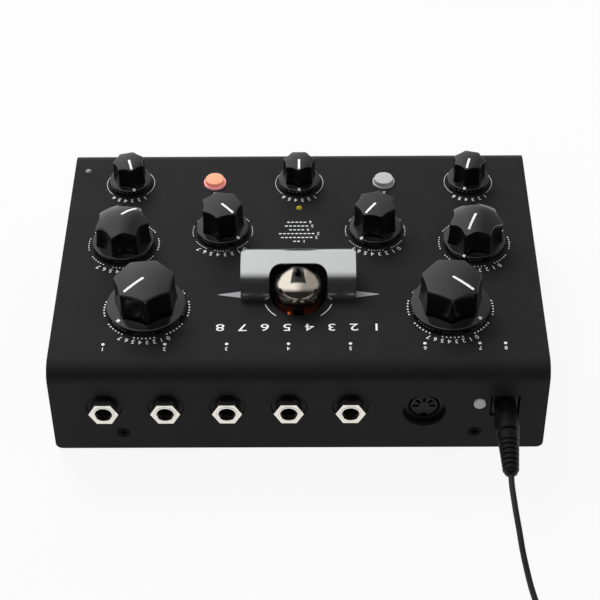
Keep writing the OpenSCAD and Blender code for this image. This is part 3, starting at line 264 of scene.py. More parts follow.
def skin(name, grid, ends=True, smooth=35.0):
    """Quads between the neighbouring points of a grid whose rows are closed rings, in millimetres. The first
    and last rings are filled if ends says so, points that fall together merge, and faces point outwards."""
    rows, sides = grid.shape[:2]
    index = np.arange(rows * sides).reshape(rows, sides)
    turned = np.roll(index, -1, axis=1)
    quads = np.stack((index[:-1], turned[:-1], turned[1:], index[1:]), axis=-1).reshape(-1, 4).tolist()
    if ends:
        quads += [index[0, ::-1].tolist(), index[-1].tolist()]
    mesh = bpy.data.meshes.new(name)
    mesh.from_pydata((grid.reshape(-1, 3) * MM).tolist(), [], quads)
    work = bmesh.new()
    work.from_mesh(mesh)
    bmesh.ops.remove_doubles(work, verts=work.verts, dist=2e-7)
    bmesh.ops.dissolve_degenerate(work, edges=work.edges, dist=1e-7)
    bmesh.ops.recalc_face_normals(work, faces=work.faces)
    work.to_mesh(mesh)
    work.free()
    return shade(mesh, smooth)


def dress(mesh, finish):
    """Gives a mesh one finish."""
    mesh.materials.clear()
    mesh.materials.append(finish)


def finish_node(node, finish):
    """Gives a node that keeps its own mesh its finish."""
    dress(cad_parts[node].data, finish)


def place(mesh, finish, body, slot, *stands_for):
    """Puts a mesh into the scene as a piece of a body, in a finish, in place of the nodes it stands for."""
    dress(mesh, finish)
    made = bpy.data.objects.new(mesh.name, mesh)
    bpy.context.scene.collection.objects.link(made)
    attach(made, body)
    if stands_for:
        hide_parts(*stands_for)
    return made


def noise(tree, scale, detail):
    """Noise over the object's own coordinates."""
    where = node_in(tree, "ShaderNodeTexCoord").outputs["Object"]
    made = node_in(tree, "ShaderNodeTexNoise", {"Vector": where, "Scale": scale, "Detail": detail})
    return made.outputs["Fac"]


def grain_group():
    """Fine grain of moulded, coated or cast surfaces: slow noise shifts the tone, quick noise the roughness
    and the height."""
    group = bpy.data.node_groups.new("surface_grain", "ShaderNodeTree")
    number, colour = "NodeSocketFloat", "NodeSocketColor"
    for name, kind in (("Colour", colour), ("Tone", number), ("Scale", number), ("Roughness", number),
                       ("Spread", number), ("Depth", number)):
        group.interface.new_socket(name, in_out="INPUT", socket_type=kind)
    for name, kind in (("Colour", colour), ("Roughness", number), ("Normal", "NodeSocketVector")):
        group.interface.new_socket(name, in_out="OUTPUT", socket_type=kind)
    given = node_in(group, "NodeGroupInput").outputs
    slow = noise(group, maths(group, "MULTIPLY", given["Scale"], 0.07), 2.0)
    quick = noise(group, given["Scale"], 3.0)
    tone = maths(group, "MULTIPLY_ADD", maths(group, "SUBTRACT", slow, 0.5), given["Tone"], 1.0)
    toned = node_in(group, "ShaderNodeVectorMath", {0: given["Colour"], "Scale": tone}, operation="SCALE")
    rise = maths(group, "SUBTRACT", quick, 0.5)
    rough = maths(group, "MULTIPLY_ADD", rise, given["Spread"], given["Roughness"])
    bump = node_in(group, "ShaderNodeBump", {"Distance": 0.0002, "Strength": given["Depth"], "Height": quick})
    node_in(group, "NodeGroupOutput", {"Colour": toned.outputs[0], "Roughness": rough,
                                       "Normal": bump.outputs["Normal"]})
    return group


GRAIN = grain_group()


def new_finish(name):
    """A new material, with its node tree and that tree's own shader."""
    finish = bpy.data.materials.new(name)
    finish.use_nodes = True
    return finish, finish.node_tree, finish.node_tree.nodes["Principled BSDF"]


def grained(name, colour, roughness, metallic=0.0, tone=0.3, scale=1200.0, spread=0.12, depth=0.08,
            specular=0.5):
    """A finish whose colour, roughness and relief come from the grain group."""
    finish, tree, shader = new_finish(name)
    grain = node_in(tree, "ShaderNodeGroup", {"Colour": (*colour, 1), "Tone": tone, "Scale": scale,
                                              "Roughness": roughness, "Spread": spread, "Depth": depth},
                    node_tree=GRAIN).outputs
    feed(tree, shader, {"Metallic": metallic, "Specular IOR Level": specular, "Base Color": grain["Colour"],
                        "Roughness": grain["Roughness"], "Normal": grain["Normal"]})
    return finish


cord_finish = grained("cord_jacket", (0.007, 0.007, 0.0073), 0.42, scale=1400, depth=0.05, specular=0.4)
cord_path = np.vstack((lead_route(), coil_route()))
cord_tube = skin("power_cord", swept(cord_path, CORD_D / 2, CORD_SIDES))
cord = place(cord_tube, cord_finish, "case", "cord", "cord_lead", "cord_coil")
nickel = grained("bright_nickel", (0.70, 0.665, 0.60), 0.3, metallic=1.0, tone=0.12, scale=1600, spread=0.1,
                 depth=0.05)
finish_node("cord_tie", grained("tie_strap", (0.02, 0.02, 0.021), 0.6, tone=0.4, depth=0.2))
finish_node("adapter_pins", nickel)
finish_node("adapter_body", grained("adapter_skin", (0.012, 0.012, 0.0125), 0.62, tone=0.25, scale=1800,
                                    depth=0.3, specular=0.35))

# Cover: one sheet of 1.6 mm steel with the front face, the panel and the rear face in one piece. It is
# punched, bent round two long rolls and powder coated satin black; four sunk screws hold it over the tray.
CASE_AT = np.array([0.0, -2.2, 2.5])
PANEL = 51.4
FLAT_ANGLE = 0.8
EDGE_ANGLE = 40.0


def cad_copy(node):
    """A copy of a node's mesh whose loose triangles are merged and whose flat faces are joined."""
    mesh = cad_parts[node].data.copy()
    mesh.name = node + "_skin"
    work = bmesh.new()
    work.from_mesh(mesh)
    bmesh.ops.remove_doubles(work, verts=work.verts, dist=2e-6)
    bmesh.ops.dissolve_limit(work, angle_limit=math.radians(FLAT_ANGLE), verts=work.verts, edges=work.edges)
    work.to_mesh(mesh)
    work.free()
    return shade(mesh, EDGE_ANGLE)


def broken_edges(piece, width):
    """Rounds a piece's sharp edges by a width in millimetres, and keeps its flat faces flat in the light."""
    bevel = piece.modifiers.new("broken_edges", "BEVEL")
    bevel.width = width * MM
    bevel.segments = 2
    bevel.limit_method = "ANGLE"
    bevel.angle_limit = math.radians(EDGE_ANGLE)
    bevel.harden_normals = True
    flat = piece.modifiers.new("flat_faces", "WEIGHTED_NORMAL")
    flat.keep_sharp = True


def cad_piece(node, finish, slot, edge):
    """A copy of a node of the case in its place, with its edges broken."""
    broken_edges(place(cad_copy(node), finish, "case", slot, node), edge)


coat = grained("satin_black_coat", (0.0168, 0.0166, 0.0176), 0.42, tone=0.25, scale=2400, spread=0.14,
               specular=0.08)
cad_piece("top_cover", coat, "cover", 0.22)

# Tray: a second folded sheet in the same coat, with a floor, two sides, a rear wall behind the cover and a
# low lip behind the front face. Its four stuck-on feet are turned from grey-black rubber.
tray_coat = grained("tray_coat", (0.0105, 0.0104, 0.0112), 0.5, tone=0.25, scale=2400, spread=0.16, depth=0.1,
                    specular=0.09)
cad_piece("base_tray", tray_coat, "tray", 0.2)
foot_rubber = grained("foot_rubber", (0.014, 0.014, 0.0145), 0.8, tone=0.4, scale=1500, depth=0.25,
                      specular=0.2)
cad_piece("rubber_feet", foot_rubber, "foot_rubber", 0.25)

# Cover screws: countersunk steel screws with a cross recess, blackened. Their heads lie level with the coat.
blackened = grained("blackened_steel", (0.005, 0.005, 0.0053), 0.35, tone=0.5, scale=1800, depth=0.06,
                    specular=0.03)
cad_piece("cover_screws", blackened, "black_screw", 0.14)

# Printing on the panel: white ink, and two wedges of grey ink beside the guard, screened over the coat. It
# holds plain marks only: dots round the knobs, thin arcs, numbers and bars, which read from the case's front.
INK_RISE = 0.03
INK_DEEP = 0.04
KNOBS = {
    "cutoff": (67.3, 37.0, "large", -46), "delay_time": (-67.3, 37.0, "large", 50),
    "drive": (80.7, -6.2, "medium", 137), "feedback": (-80.7, -6.2, "medium", -24),
    "filter_mode": (80.7, -50.2, "small", 15), "delay_mode": (-80.7, -50.2, "small", -15),
    "input_level": (0.0, -50.2, "small", 0), "resonance": (35.4, -15.1, "tall", 42),
    "mix": (-35.4, -15.1, "tall", -36),
}
DOT_ROWS = {"large": (18.9, 0.42), "medium": (16.2, 0.33), "tall": (13.85, 0.27)}
DOT_COUNT = 6
DOT_SPREAD = 13.5
FIGURE_ARC = 160
FIGURE_H = 2.2
MODE_R = 13.0
MODE_STEP = 14
ARC_R = 11.35
ARC_W = 0.17
ARC_START = 44
ARC_END = 138
BUTTON_X = 40.4
BUTTON_Y = -50.4
BUTTON_FIGURE_Y = -42.2
VALVE_Y = 30.0
VALVE_ARC_R = 15.4
VALVE_ARC_W = 0.36
JACK_XS = 84.9 - 26.9 * np.arange(5)
DIN_X = -55.0
OPTION_X = -78.9
SOCKET_XS = (*JACK_XS, DIN_X, OPTION_X, PLUG_X)
SOCKET_DOT_Y = 59.4
SOCKET_FIGURE_Y = 62.4
LIST_DASHES = (2, 8, 9, 4, 6, 5)
LIST_Y = -7.8
LIST_STEP = 2.7
DASH_STEP = 1.9
WEDGE_X = 31.0
WEDGE_Y = 28.1
WEDGE_L = 10.2
WEDGE_H = 4.1
TITLE_X = -34.3
TITLE_Y = 49.2
TITLE_STEP = 9.8
TITLE_H = 4.3
ink_points = []
ink_faces = []


def add_ink(points, faces):
    """Keeps flat points on the panel, given in the case's own plan, and the faces between them."""
    start = sum(len(p) for p in ink_points)
    ink_points.append(np.asarray(points, float))
    ink_faces.extend([[start + int(i) for i in face] for face in faces])


def spot(x, y, radius, sides=12):
    """A round dot."""
    a = 2 * np.pi * np.arange(sides) / sides
    add_ink(np.column_stack((x + radius * np.cos(a), y + radius * np.sin(a))), [range(sides)])


def band(x, y, radius, width, start, end):
    """A strip along a circle; angles run clockwise from the +Y side, in degrees."""
    steps = 48
    a = np.radians(np.linspace(start, end, steps + 1))
    way = np.column_stack((np.sin(a), np.cos(a)))
    rim = np.concatenate(((radius + width / 2) * way, (radius - width / 2) * way)) + (x, y)
    i = np.arange(steps)
    add_ink(rim, np.column_stack((i, i + 1, i + steps + 2, i + steps + 1)))


def bar(x, y, length, height, taper=1.0):
    """A flat bar centred on a point; taper is the height of its far end as a share of the other."""
    add_ink([(x - length / 2, y - height / 2), (x + length / 2, y - height * taper / 2),
             (x + length / 2, y + height * taper / 2), (x - length / 2, y + height / 2)], [range(4)])


def figure_shape(digit):
    """The outline of one digit in the plain built-in letter, filled, one high and centred on its middle."""
    letter = bpy.data.curves.new("figure", "FONT")
    letter.body = digit
    letter.resolution_u = 3
    holder = bpy.data.objects.new("figure", letter)
    bpy.context.scene.collection.objects.link(holder)
    view = bpy.context.evaluated_depsgraph_get()
    mesh = bpy.data.meshes.new_from_object(holder.evaluated_get(view))
    flat = np.empty(len(mesh.vertices) * 3)
    mesh.vertices.foreach_get("co", flat)
    flat = flat.reshape(-1, 3)[:, :2]
    faces = [list(face.vertices) for face in mesh.polygons]
    bpy.data.objects.remove(holder)
    bpy.data.curves.remove(letter)
    bpy.data.meshes.remove(mesh)
    low, high = flat.min(axis=0), flat.max(axis=0)
    return (flat - (low + high) / 2) / (high[1] - low[1]), faces


FIGURES = {digit: figure_shape(digit) for digit in "0123456789"}


def figure(digit, x, y, height, turn=0.0, wide=1.0):
    """One digit at a place, turned clockwise by degrees and drawn out sideways by a factor."""
    flat, faces = FIGURES[digit]
    t = math.radians(turn)
    across = flat[:, 0] * height * wide
    up = flat[:, 1] * height
    add_ink(np.column_stack((x + across * math.cos(t) + up * math.sin(t),
                             y + up * math.cos(t) - across * math.sin(t))), faces)


def figures_round(x, y, radius, digits, height, step):
    """A row of digits along a circle round a point, centred on its +Y side and upright away from it."""
    for place_in_row, digit in enumerate(digits):
        turn = (place_in_row - (len(digits) - 1) / 2) * step
        t = math.radians(turn)
        figure(digit, x + radius * math.sin(t), y + radius * math.cos(t), height, turn)


for knob_x, knob_y, knob_kind, _ in KNOBS.values():
    if knob_kind == "small":
        for side in (-1, 1):
            band(knob_x, knob_y, ARC_R, ARC_W, side * ARC_START, side * ARC_END)
        figures_round(knob_x, knob_y, MODE_R, "123456", FIGURE_H, MODE_STEP)
    else:
        dot_circle, dot_r = DOT_ROWS[knob_kind]
        for dot_centre in np.arange(-135, 136, 45):
            for dot_turn in np.radians(dot_centre + np.linspace(-DOT_SPREAD, DOT_SPREAD, DOT_COUNT)):
                spot(knob_x + dot_circle * np.sin(dot_turn), knob_y + dot_circle * np.cos(dot_turn), dot_r, 8)
        figures_round(knob_x, knob_y, dot_circle + 2.5, "01234567", 2.3, FIGURE_ARC / dot_circle)

for row, digit in enumerate("12345678"):
    figure(digit, TITLE_X + TITLE_STEP * row, TITLE_Y, TITLE_H, wide=1.4)
for row, (digit, dashes) in enumerate(zip("123456", LIST_DASHES)):
    row_y = LIST_Y - LIST_STEP * row
    row_end = -(DASH_STEP * dashes + 2.2) / 2
    figure(digit, row_end + 0.6, row_y, 1.9)
    for dash in range(dashes):
        bar(row_end + 3.1 + DASH_STEP * dash, row_y, 1.25, 0.6)
for digit, mark_x in zip("12345678", SOCKET_XS):
    spot(mark_x, SOCKET_DOT_Y, 0.75)
    figure(digit, mark_x, SOCKET_FIGURE_Y, 2.1)
figure("1", BUTTON_X, BUTTON_FIGURE_Y, FIGURE_H)
figure("2", -BUTTON_X, BUTTON_FIGURE_Y, FIGURE_H)
band(0, VALVE_Y, VALVE_ARC_R, VALVE_ARC_W, -73, -40)
band(0, VALVE_Y, VALVE_ARC_R, VALVE_ARC_W, 40, 73)


def thickened(piece, depth):
    """Gives an open sheet a wall of a depth in millimetres behind its faces."""
    wall = piece.modifiers.new("wall", "SOLIDIFY")
    wall.thickness = depth * MM
    wall.offset = -1
    return wall


def print_panel(name, finish):
    """Makes one piece of the marks gathered so far, a thin film on the panel, and clears them."""
    flat = np.vstack(ink_points)
    placed = np.column_stack((flat, np.full(len(flat), PANEL - CASE_AT[2] + INK_RISE))) + CASE_AT
    mesh = bpy.data.meshes.new(name)
    mesh.from_pydata((placed * MM).tolist(), [], ink_faces)
    work = bmesh.new()
    work.from_mesh(mesh)
    bmesh.ops.reverse_faces(work, faces=[f for f in work.faces if f.normal.z < 0])
    work.to_mesh(mesh)
    work.free()
    thickened(place(mesh, finish, "case", "cover"), INK_DEEP)
    ink_points.clear()
    ink_faces.clear()


white_ink = grained("white_ink", (0.86, 0.86, 0.86), 0.55, scale=2600, depth=0.05, specular=0.3)
grey_ink = grained("grey_ink", (0.36, 0.36, 0.37), 0.5, tone=0.5, scale=2600, depth=0.05, specular=0.3)
print_panel("panel_print", white_ink)
for side in (1, -1):
    bar(side * WEDGE_X, WEDGE_Y, side * WEDGE_L, WEDGE_H, 0.06)
print_panel("grey_wedges", grey_ink)

# Knobs: nine fluted knobs moulded in gloss black plastic, pushed on the control shafts. Each has seven
# ridges, a sloping skirt and a domed top; a pointer line on the top and a short mark on the skirt are filled
# with white. Sizes: radius of skirt and ridges, height of wall and top, share left in a flute, dome's power.
KNOB_SIZES = {
    "large": (17.75, 13.6, 17.35, 19.0, 0.895, 2.0),
    "medium": (14.25, 12.4, 13.8, 18.1, 0.82, 2.2),
    "tall": (12.2, 9.6, 16.3, 17.0, 0.86, 2.0),
    "small": (10.0, 7.6, 13.4, 14.6, 0.85, 2.5),
}
KNOB_RIDGES = 7
RIDGE_POINTS = 18
RIDGE_SOFT = 0.09
EDGE_SOFT = 0.5
SKIRT_SLOPE = math.tan(math.radians(8))
RIM_IN = 0.5
RIM_TOP = 3.3
FOOT_FLARE = 1.06
RIM = [(0.4, 0.7), (0.1, 0.8), (0.0, 1.05), (0.0, 1.15), (0.0, 2.55), (0.0, 2.65), (0.12, 2.95), (0.3, 3.15),
       (RIM_IN, RIM_TOP)]
BORE = [(0, 11.7), (3.025, 11.7), (3.025, 5.0), (4.6, 5.0), (4.6, 2.6), (6.37, 2.6), (6.37, 0.7)]
INLAY_DEEP = 0.15
INLAY_PROUD = 0.03


def ridged(a, ridge_r, root):
    """Radius of the fluted wall at an angle: flat between two ridges and hollowed to the root share of the
    ridge radius, with the ridge itself softened by a root of squares."""
    phase = (a * KNOB_RIDGES / (2 * np.pi)) % 1
    off = 2 * np.minimum(phase, 1 - phase)
    s = (np.sqrt(off**2 + RIDGE_SOFT**2) - RIDGE_SOFT) / (math.sqrt(1 + RIDGE_SOFT**2) - RIDGE_SOFT)
    half = np.pi / KNOB_RIDGES
    straight = math.cos(half) / np.cos(half * (1 - s))
    return ridge_r * (straight - (math.cos(half) - root) * (1 - (1 - s)**2))


def knob_grid(skirt_r, ridge_r, edge, top, root, swell):
    """Rings from the bore out to the skirt's rim, up its cone to the fluted wall, over a round edge and in
    over the top. The top is a surface of revolution that falls by a power of the radius, so the wall ends
    higher in a flute."""
    a = np.linspace(0, 2 * np.pi, KNOB_RIDGES * RIDGE_POINTS, endpoint=False)
    one = np.ones_like(a)
    wall = ridged(a, ridge_r, root)
    foot = np.minimum(wall * FOOT_FLARE, skirt_r - 1.0)
    foot_z = RIM_TOP + (skirt_r - RIM_IN - foot) * SKIRT_SLOPE
    brow = top - (top - edge) * (wall / ridge_r)**swell
    rows = [(r * one, z * one) for r, z in BORE]
    rows += [(skirt_r - inset * one, z * one) for inset, z in RIM]
    for share in (0.08, 0.5, 0.92):
        r = skirt_r - RIM_IN + (foot - skirt_r + RIM_IN) * share
        rows.append((r, RIM_TOP + (foot_z - RIM_TOP) * share))
    for share in (0.0, 0.04, 0.1, 0.2, 0.35, 0.5, 0.7, 0.85, 1.0):
        rows.append((foot + (wall - foot) * (1 - (1 - share)**3),
                     foot_z + (brow - EDGE_SOFT - foot_z) * share))
    inner = wall - EDGE_SOFT
    inner_z = top - (top - edge) * (inner / ridge_r)**swell
    for share in (0.2, 0.4, 0.6, 0.8, 1.0):
        rows.append(((1 - share**2) * wall + share**2 * inner,
                     (1 - share)**2 * (brow - EDGE_SOFT) + 2 * share * (1 - share) * brow
                     + share**2 * inner_z))
    for share in (0.96, 0.9, 0.82, 0.72, 0.6, 0.45, 0.3, 0.15, 0.0):
        rows.append((inner * share, top - (top - edge) * (inner * share / ridge_r)**swell))
    r = np.array([row[0] for row in rows])
    z = np.array([row[1] for row in rows])
    return np.stack((-r * np.sin(a), r * np.cos(a), z), axis=-1)


def turned_to(grid, x, y, rest):
    """A knob's points turned counter-clockwise to its angle at rest and set on the panel at its place."""
    t = math.radians(rest)
    spun = grid @ np.array([[math.cos(t), math.sin(t), 0], [-math.sin(t), math.cos(t), 0], [0, 0, 1]])
    return spun + CASE_AT + (x, y, PANEL - CASE_AT[2])


def inlay(length_ways, height, width):
    """A flat ribbon along +Y at the distances given: four points a ring, a little proud of its ground."""
    low = height[:, None] - INLAY_DEEP
    high = height[:, None] + INLAY_PROUD
    up = np.concatenate((low, low, high, high), 1)
    side = np.broadcast_to(np.array([-1, 1, 1, -1]) * width / 2, up.shape)
    return np.stack((side, np.broadcast_to(length_ways[:, None], up.shape), up), axis=-1)


knob_gloss = grained("gloss_knob", (0.0009, 0.0009, 0.001), 0.18, scale=500, spread=0.05, depth=0.001,
                     specular=0.85)
pointer_white = grained("pointer_white", (0.88, 0.88, 0.88), 0.45, tone=0.2, scale=1500, depth=0.03)
for knob_name, (knob_x, knob_y, knob_kind, knob_rest) in KNOBS.items():
    skirt_r, ridge_r, edge, top, root, swell = KNOB_SIZES[knob_kind]
    line = np.linspace(0.02, 0.75 if knob_kind == "medium" else 0.85, 18) * ridge_r
    line_z = top - (top - edge) * (line / ridge_r)**swell
    mark = np.linspace(-0.75, 0.75, 4) + (skirt_r + ridged(np.zeros(1), ridge_r, root)[0] * FOOT_FLARE) / 2
    mark_z = RIM_TOP + (skirt_r - RIM_IN - mark) * SKIRT_SLOPE
    line_w, mark_w = (1.2, 1.5) if knob_kind == "large" else (1.05, 1.2)
    for grid, finish, *names in (
            (knob_grid(*KNOB_SIZES[knob_kind]), knob_gloss, "_fluted_knob", knob_name + "_knob"),
            (inlay(line, line_z, line_w), pointer_white, "_pointer"),
            (inlay(mark, mark_z, mark_w), pointer_white, "_skirt_mark")):
        shape = skin(knob_name + names[0], turned_to(grid, knob_x, knob_y, knob_rest))
        place(shape, finish, knob_name, "knob", *names[1:])

# Control shafts, rotary controls and their nuts: aluminium shafts that run in the bushes of nine sealed
# controls, whose plated steel nuts clamp them to the panel under the knobs.
shaft_metal = grained("shaft_aluminium", (0.6, 0.6, 0.62), 0.35, metallic=1.0, tone=0.1, scale=2000,
                      depth=0.05)
control_metal = grained("control_case", (0.45, 0.45, 0.47), 0.42, metallic=1.0, tone=0.15, scale=1500)
for knob_name in KNOBS:
    finish_node(knob_name + "_shaft", shaft_metal)
finish_node("potentiometers", control_metal)
finish_node("panel_nuts", nickel)

# Push buttons: two round panel buttons that run in their collars and a small one through the rear face. The
# bypass button and its collar are lit coral from below; the others are plain pale grey plastic.
CAP_TOP = PANEL + 2.8
COLLAR_TOP = PANEL + 0.9
COLLAR_LOW = 45.9
COLLAR_BORE = 4.53


def on_panel(x, y):
    """The place at floor level under a point of the panel, given in the case's own plan."""
    return CASE_AT * (1, 1, 0) + (x, y, 0)


def soft_profile(points, radius):
    """An outline whose inner corners are rounded: each corner becomes a quadratic curve between two points
    that lie a radius away, or less than half a side where a side is short."""
    p = np.asarray(points, float)
    to_last = p[:-2] - p[1:-1]
    to_next = p[2:] - p[1:-1]
    last_l = np.linalg.norm(to_last, axis=1, keepdims=True)
    next_l = np.linalg.norm(to_next, axis=1, keepdims=True)
    start = p[1:-1] + to_last * np.minimum(radius / last_l, 0.49)
    end = p[1:-1] + to_next * np.minimum(radius / next_l, 0.49)
    t = np.linspace(0, 1, 5)[None, :, None]
    bend = (1 - t)**2 * start[:, None] + 2 * t * (1 - t) * p[1:-1][:, None] + t**2 * end[:, None]
    return np.vstack((p[:1], bend.reshape(-1, 2), p[-1:]))


def lathe(profile, sides=48):
    """Rings round +Z from an outline of radii and heights."""
    a = np.linspace(0, 2 * np.pi, sides, endpoint=False)
    r, z = np.asarray(profile, float).T[:, :, None]
    return np.stack((r * np.cos(a), r * np.sin(a), np.broadcast_to(z, (len(z), sides))), -1)


def aimed(grid, origin, way=(0, 0, 1)):
    """Points made round +Z, turned so that +Z lies along a way, and moved to an origin."""
    way = np.asarray(way, float) / np.linalg.norm(way)
    side = np.cross((1, 0, 0), way)
    side /= np.linalg.norm(side)
    return grid @ np.stack((np.cross(side, way), side, way)) + np.asarray(origin, float)


def ramp(tree, share, first, last, between=()):
    """A colour over a share from nothing to one; between holds further shares with their colours."""
    made = node_in(tree, "ShaderNodeValToRGB", {"Fac": share})
    stops = made.color_ramp.elements
    stops[0].color = (*first, 1)
    stops[1].color = (*last, 1)
    for at, colour in between:
        stops.new(at).color = (*colour, 1)
    return made.outputs["Color"]


def lit(name, colour, strength, roughness, edge_colour, centre, reach):
    """A lit translucent plastic: its own colour over its middle, and another at a reach from there."""
    finish = grained(name, colour, roughness, tone=0.15, depth=0.03)
    tree = finish.node_tree
    where = node_in(tree, "ShaderNodeTexCoord").outputs["Object"]
    middle = tuple(np.asarray(centre) * MM)
    offset = node_in(tree, "ShaderNodeVectorMath", {0: where, 1: middle}, operation="DISTANCE")
    share = maths(tree, "MULTIPLY", offset.outputs["Value"], 1 / (reach * MM), clamp=True)
    feed(tree, tree.nodes["Principled BSDF"], {"Emission Color": ramp(tree, share, colour, edge_colour),
                                               "Emission Strength": strength})
    return finish


BUTTON_PROFILE = soft_profile([(0, 44.2), (2.0, 44.2), (2.0, 47.2), (4.45, 47.2), (4.45, PANEL + 2.7),
                               (2.6, CAP_TOP), (0, CAP_TOP)], 0.4)
COLLAR_PROFILE = soft_profile([(COLLAR_BORE, COLLAR_LOW), (5.3, COLLAR_LOW), (5.3, COLLAR_TOP),
                               (COLLAR_BORE, COLLAR_TOP), (COLLAR_BORE, COLLAR_LOW)], 0.3)
OPTION_PROFILE = soft_profile([(0, 0), (1.5, 0), (1.5, 4.9), (2.65, 4.9), (2.65, 11.2), (0, 11.2)], 0.5)
bypass_at = on_panel(BUTTON_X, BUTTON_Y)
coral = lit("lit_coral", (0.575, 0.3, 0.172), 0.39, 0.35, (0.78, 0.15, 0.13),
            bypass_at + (0, -1.6, CAP_TOP), 7.0)
coral_rim = lit("lit_collar", (0.8, 0.34, 0.35), 0.3, 0.35, (0.75, 0.32, 0.35),
                bypass_at + (0, 0, PANEL), 7.0)
pale_button = grained("pale_button", (0.46, 0.46, 0.46), 0.4, tone=0.15, depth=0.04)
for button, button_x, cap_finish, cap_slot, ring_finish, ring_slot in (
        ("bypass", BUTTON_X, coral, "lit_button", coral_rim, "lit_collar"),
        ("tap", -BUTTON_X, pale_button, "grey_button", pale_button, "grey_button")):
    cap = skin(button + "_cap", aimed(lathe(BUTTON_PROFILE), on_panel(button_x, BUTTON_Y)))
    place(cap, cap_finish, button, cap_slot, button + "_button")
    ring = skin(button + "_ring", aimed(lathe(COLLAR_PROFILE), on_panel(button_x, BUTTON_Y)), ends=False)
    place(ring, ring_finish, "case", ring_slot, button + "_collar")
rearward = (0, 1, 0)
option_grey = grained("option_grey", (0.62, 0.62, 0.62), 0.4, tone=0.15, depth=0.04)
option_cap = skin("option_cap", aimed(lathe(OPTION_PROFILE, 36), CASE_AT + (OPTION_X, 65.6, 28.2), rearward))
place(option_cap, option_grey, "option", "grey_button", "option_button")
switch_plastic = grained("switch_plastic", (0.016, 0.016, 0.017), 0.55)
finish_node("push_switches", switch_plastic)

# Lamps: two 3 mm lamps with domed noses, pushed through the panel from the board below. The level lamp is
# amber and lit, the power lamp is a pale diffused one.
LAMP_R = 1.5
LAMP_NOSE = PANEL - 0.4
LAMP_DOME = 1.2
nose_turn = np.radians(np.arange(0, 91, 10))
LAMP_PROFILE = np.vstack(([(0, 42.9), (1.9, 42.9), (1.9, 43.9), (LAMP_R, 43.9), (LAMP_R, LAMP_NOSE)],
                          np.column_stack((LAMP_R * np.cos(nose_turn),
                                           LAMP_NOSE + LAMP_DOME * np.sin(nose_turn)))))
level_at = on_panel(0, -31.8)
power_at = on_panel(102.0, -59.8)
amber = lit("amber_lamp", (0.3, 0.23, 0.004), 0.12, 0.2, (0.75, 0.6, 0.08),
            level_at + (0, 0, PANEL + 0.8), 1.9)
pale_lamp = grained("pale_lamp", (0.3, 0.3, 0.29), 0.3, tone=0.1, scale=1500, depth=0.02)
for lamp_name, lamp_at, lamp_finish, lamp_slot in (("level_lamp", level_at, amber, "yellow_lamp"),
                                                   ("power_lamp", power_at, pale_lamp, "pale_lamp")):
    lens = skin(lamp_name + "_lens", aimed(lathe(LAMP_PROFILE, 32), lamp_at))
    place(lens, lamp_finish, "case", lamp_slot, lamp_name)

# Valve: a nine-pin glass valve that stands in its socket inside the case. Its blown envelope ends in a
# drawn-off tip, and the flashed getter has laid a mirror inside the dome that thins out to amber at its edge.
VALVE_AT = on_panel(0, VALVE_Y)
VALVE_TOP = 65.6
VALVE_SEAT = 17.6
VALVE_SIDES = 72
GLASS_R = 10.7
GLASS_T = 1.0
GLASS_BASE = 2.5
DOME_H = 7.7
DOME_POWER = 0.9
TIP = [(2.3, 0.0), (1.75, 0.45), (1.35, 1.1), (1.08, 1.9), (0.82, 2.8), (0.55, 3.6), (0.3, 4.05), (0.0, 4.2)]
FILM_IN = GLASS_T - 0.1
FILM_T = 0.05
FILM_LOW = 54.6
FILM_FADE = 4.2
FILM_RISE = 4.5
FILM_WANDER = 3.2
PATCH_HALF = 2.7
PATCH_FRONT = 4.4


def dome(radius, crown, rise, last_r=0.0):
    """A quarter of a full-shouldered ellipse, whose sine and cosine are raised to a power a little under one,
    from the widest ring up to the crown or to a ring of a smaller radius."""
    t = np.linspace(0, math.acos((last_r / radius)**(1 / DOME_POWER)), 20)
    return np.column_stack((radius * np.cos(t)**DOME_POWER, crown - rise + rise * np.sin(t)**DOME_POWER))


def clear_glass(name, tint):
    """Clear glass with faint ripples from blowing."""
    finish, tree, shader = new_finish(name)
    ripple = node_in(tree, "ShaderNodeBump", {"Strength": 0.05, "Distance": 0.0003,
                                              "Height": noise(tree, 160.0, 2.0)})
    feed(tree, shader, {"Base Color": (*tint, 1), "Roughness": 0.02, "Transmission Weight": 1.0, "IOR": 1.47,
                        "Normal": ripple.outputs["Normal"]})
    return finish


outer_glass = np.vstack(([(0, VALVE_SEAT), (GLASS_R - 1.2, VALVE_SEAT), (GLASS_R - 0.35, VALVE_SEAT + 0.35),
                          (GLASS_R, VALVE_SEAT + 1.2)],
                         dome(GLASS_R, VALVE_TOP, DOME_H, 2.6), np.array(TIP) + (0, VALVE_TOP)))
inner_glass = np.vstack(([(0, VALVE_SEAT + GLASS_BASE), (GLASS_R - GLASS_T, VALVE_SEAT + GLASS_BASE)],
                         dome(GLASS_R - GLASS_T, VALVE_TOP - GLASS_T, DOME_H - GLASS_T)))
glass_grid = aimed(lathe(np.vstack((outer_glass, inner_glass[::-1])), VALVE_SIDES), VALVE_AT)
place(skin("valve_envelope", glass_grid, ends=False), clear_glass("valve_glass", (0.97, 0.975, 0.97)), "case",
      "valve_glass", "valve_glass")

getter_finish, getter, getter_shader = new_finish("getter_mirror")
getter_where = node_in(getter, "ShaderNodeTexCoord").outputs["Object"]
getter_axes = node_in(getter, "ShaderNodeSeparateXYZ", {0: getter_where}).outputs
getter_cloud = noise(getter, 260.0, 3.0)
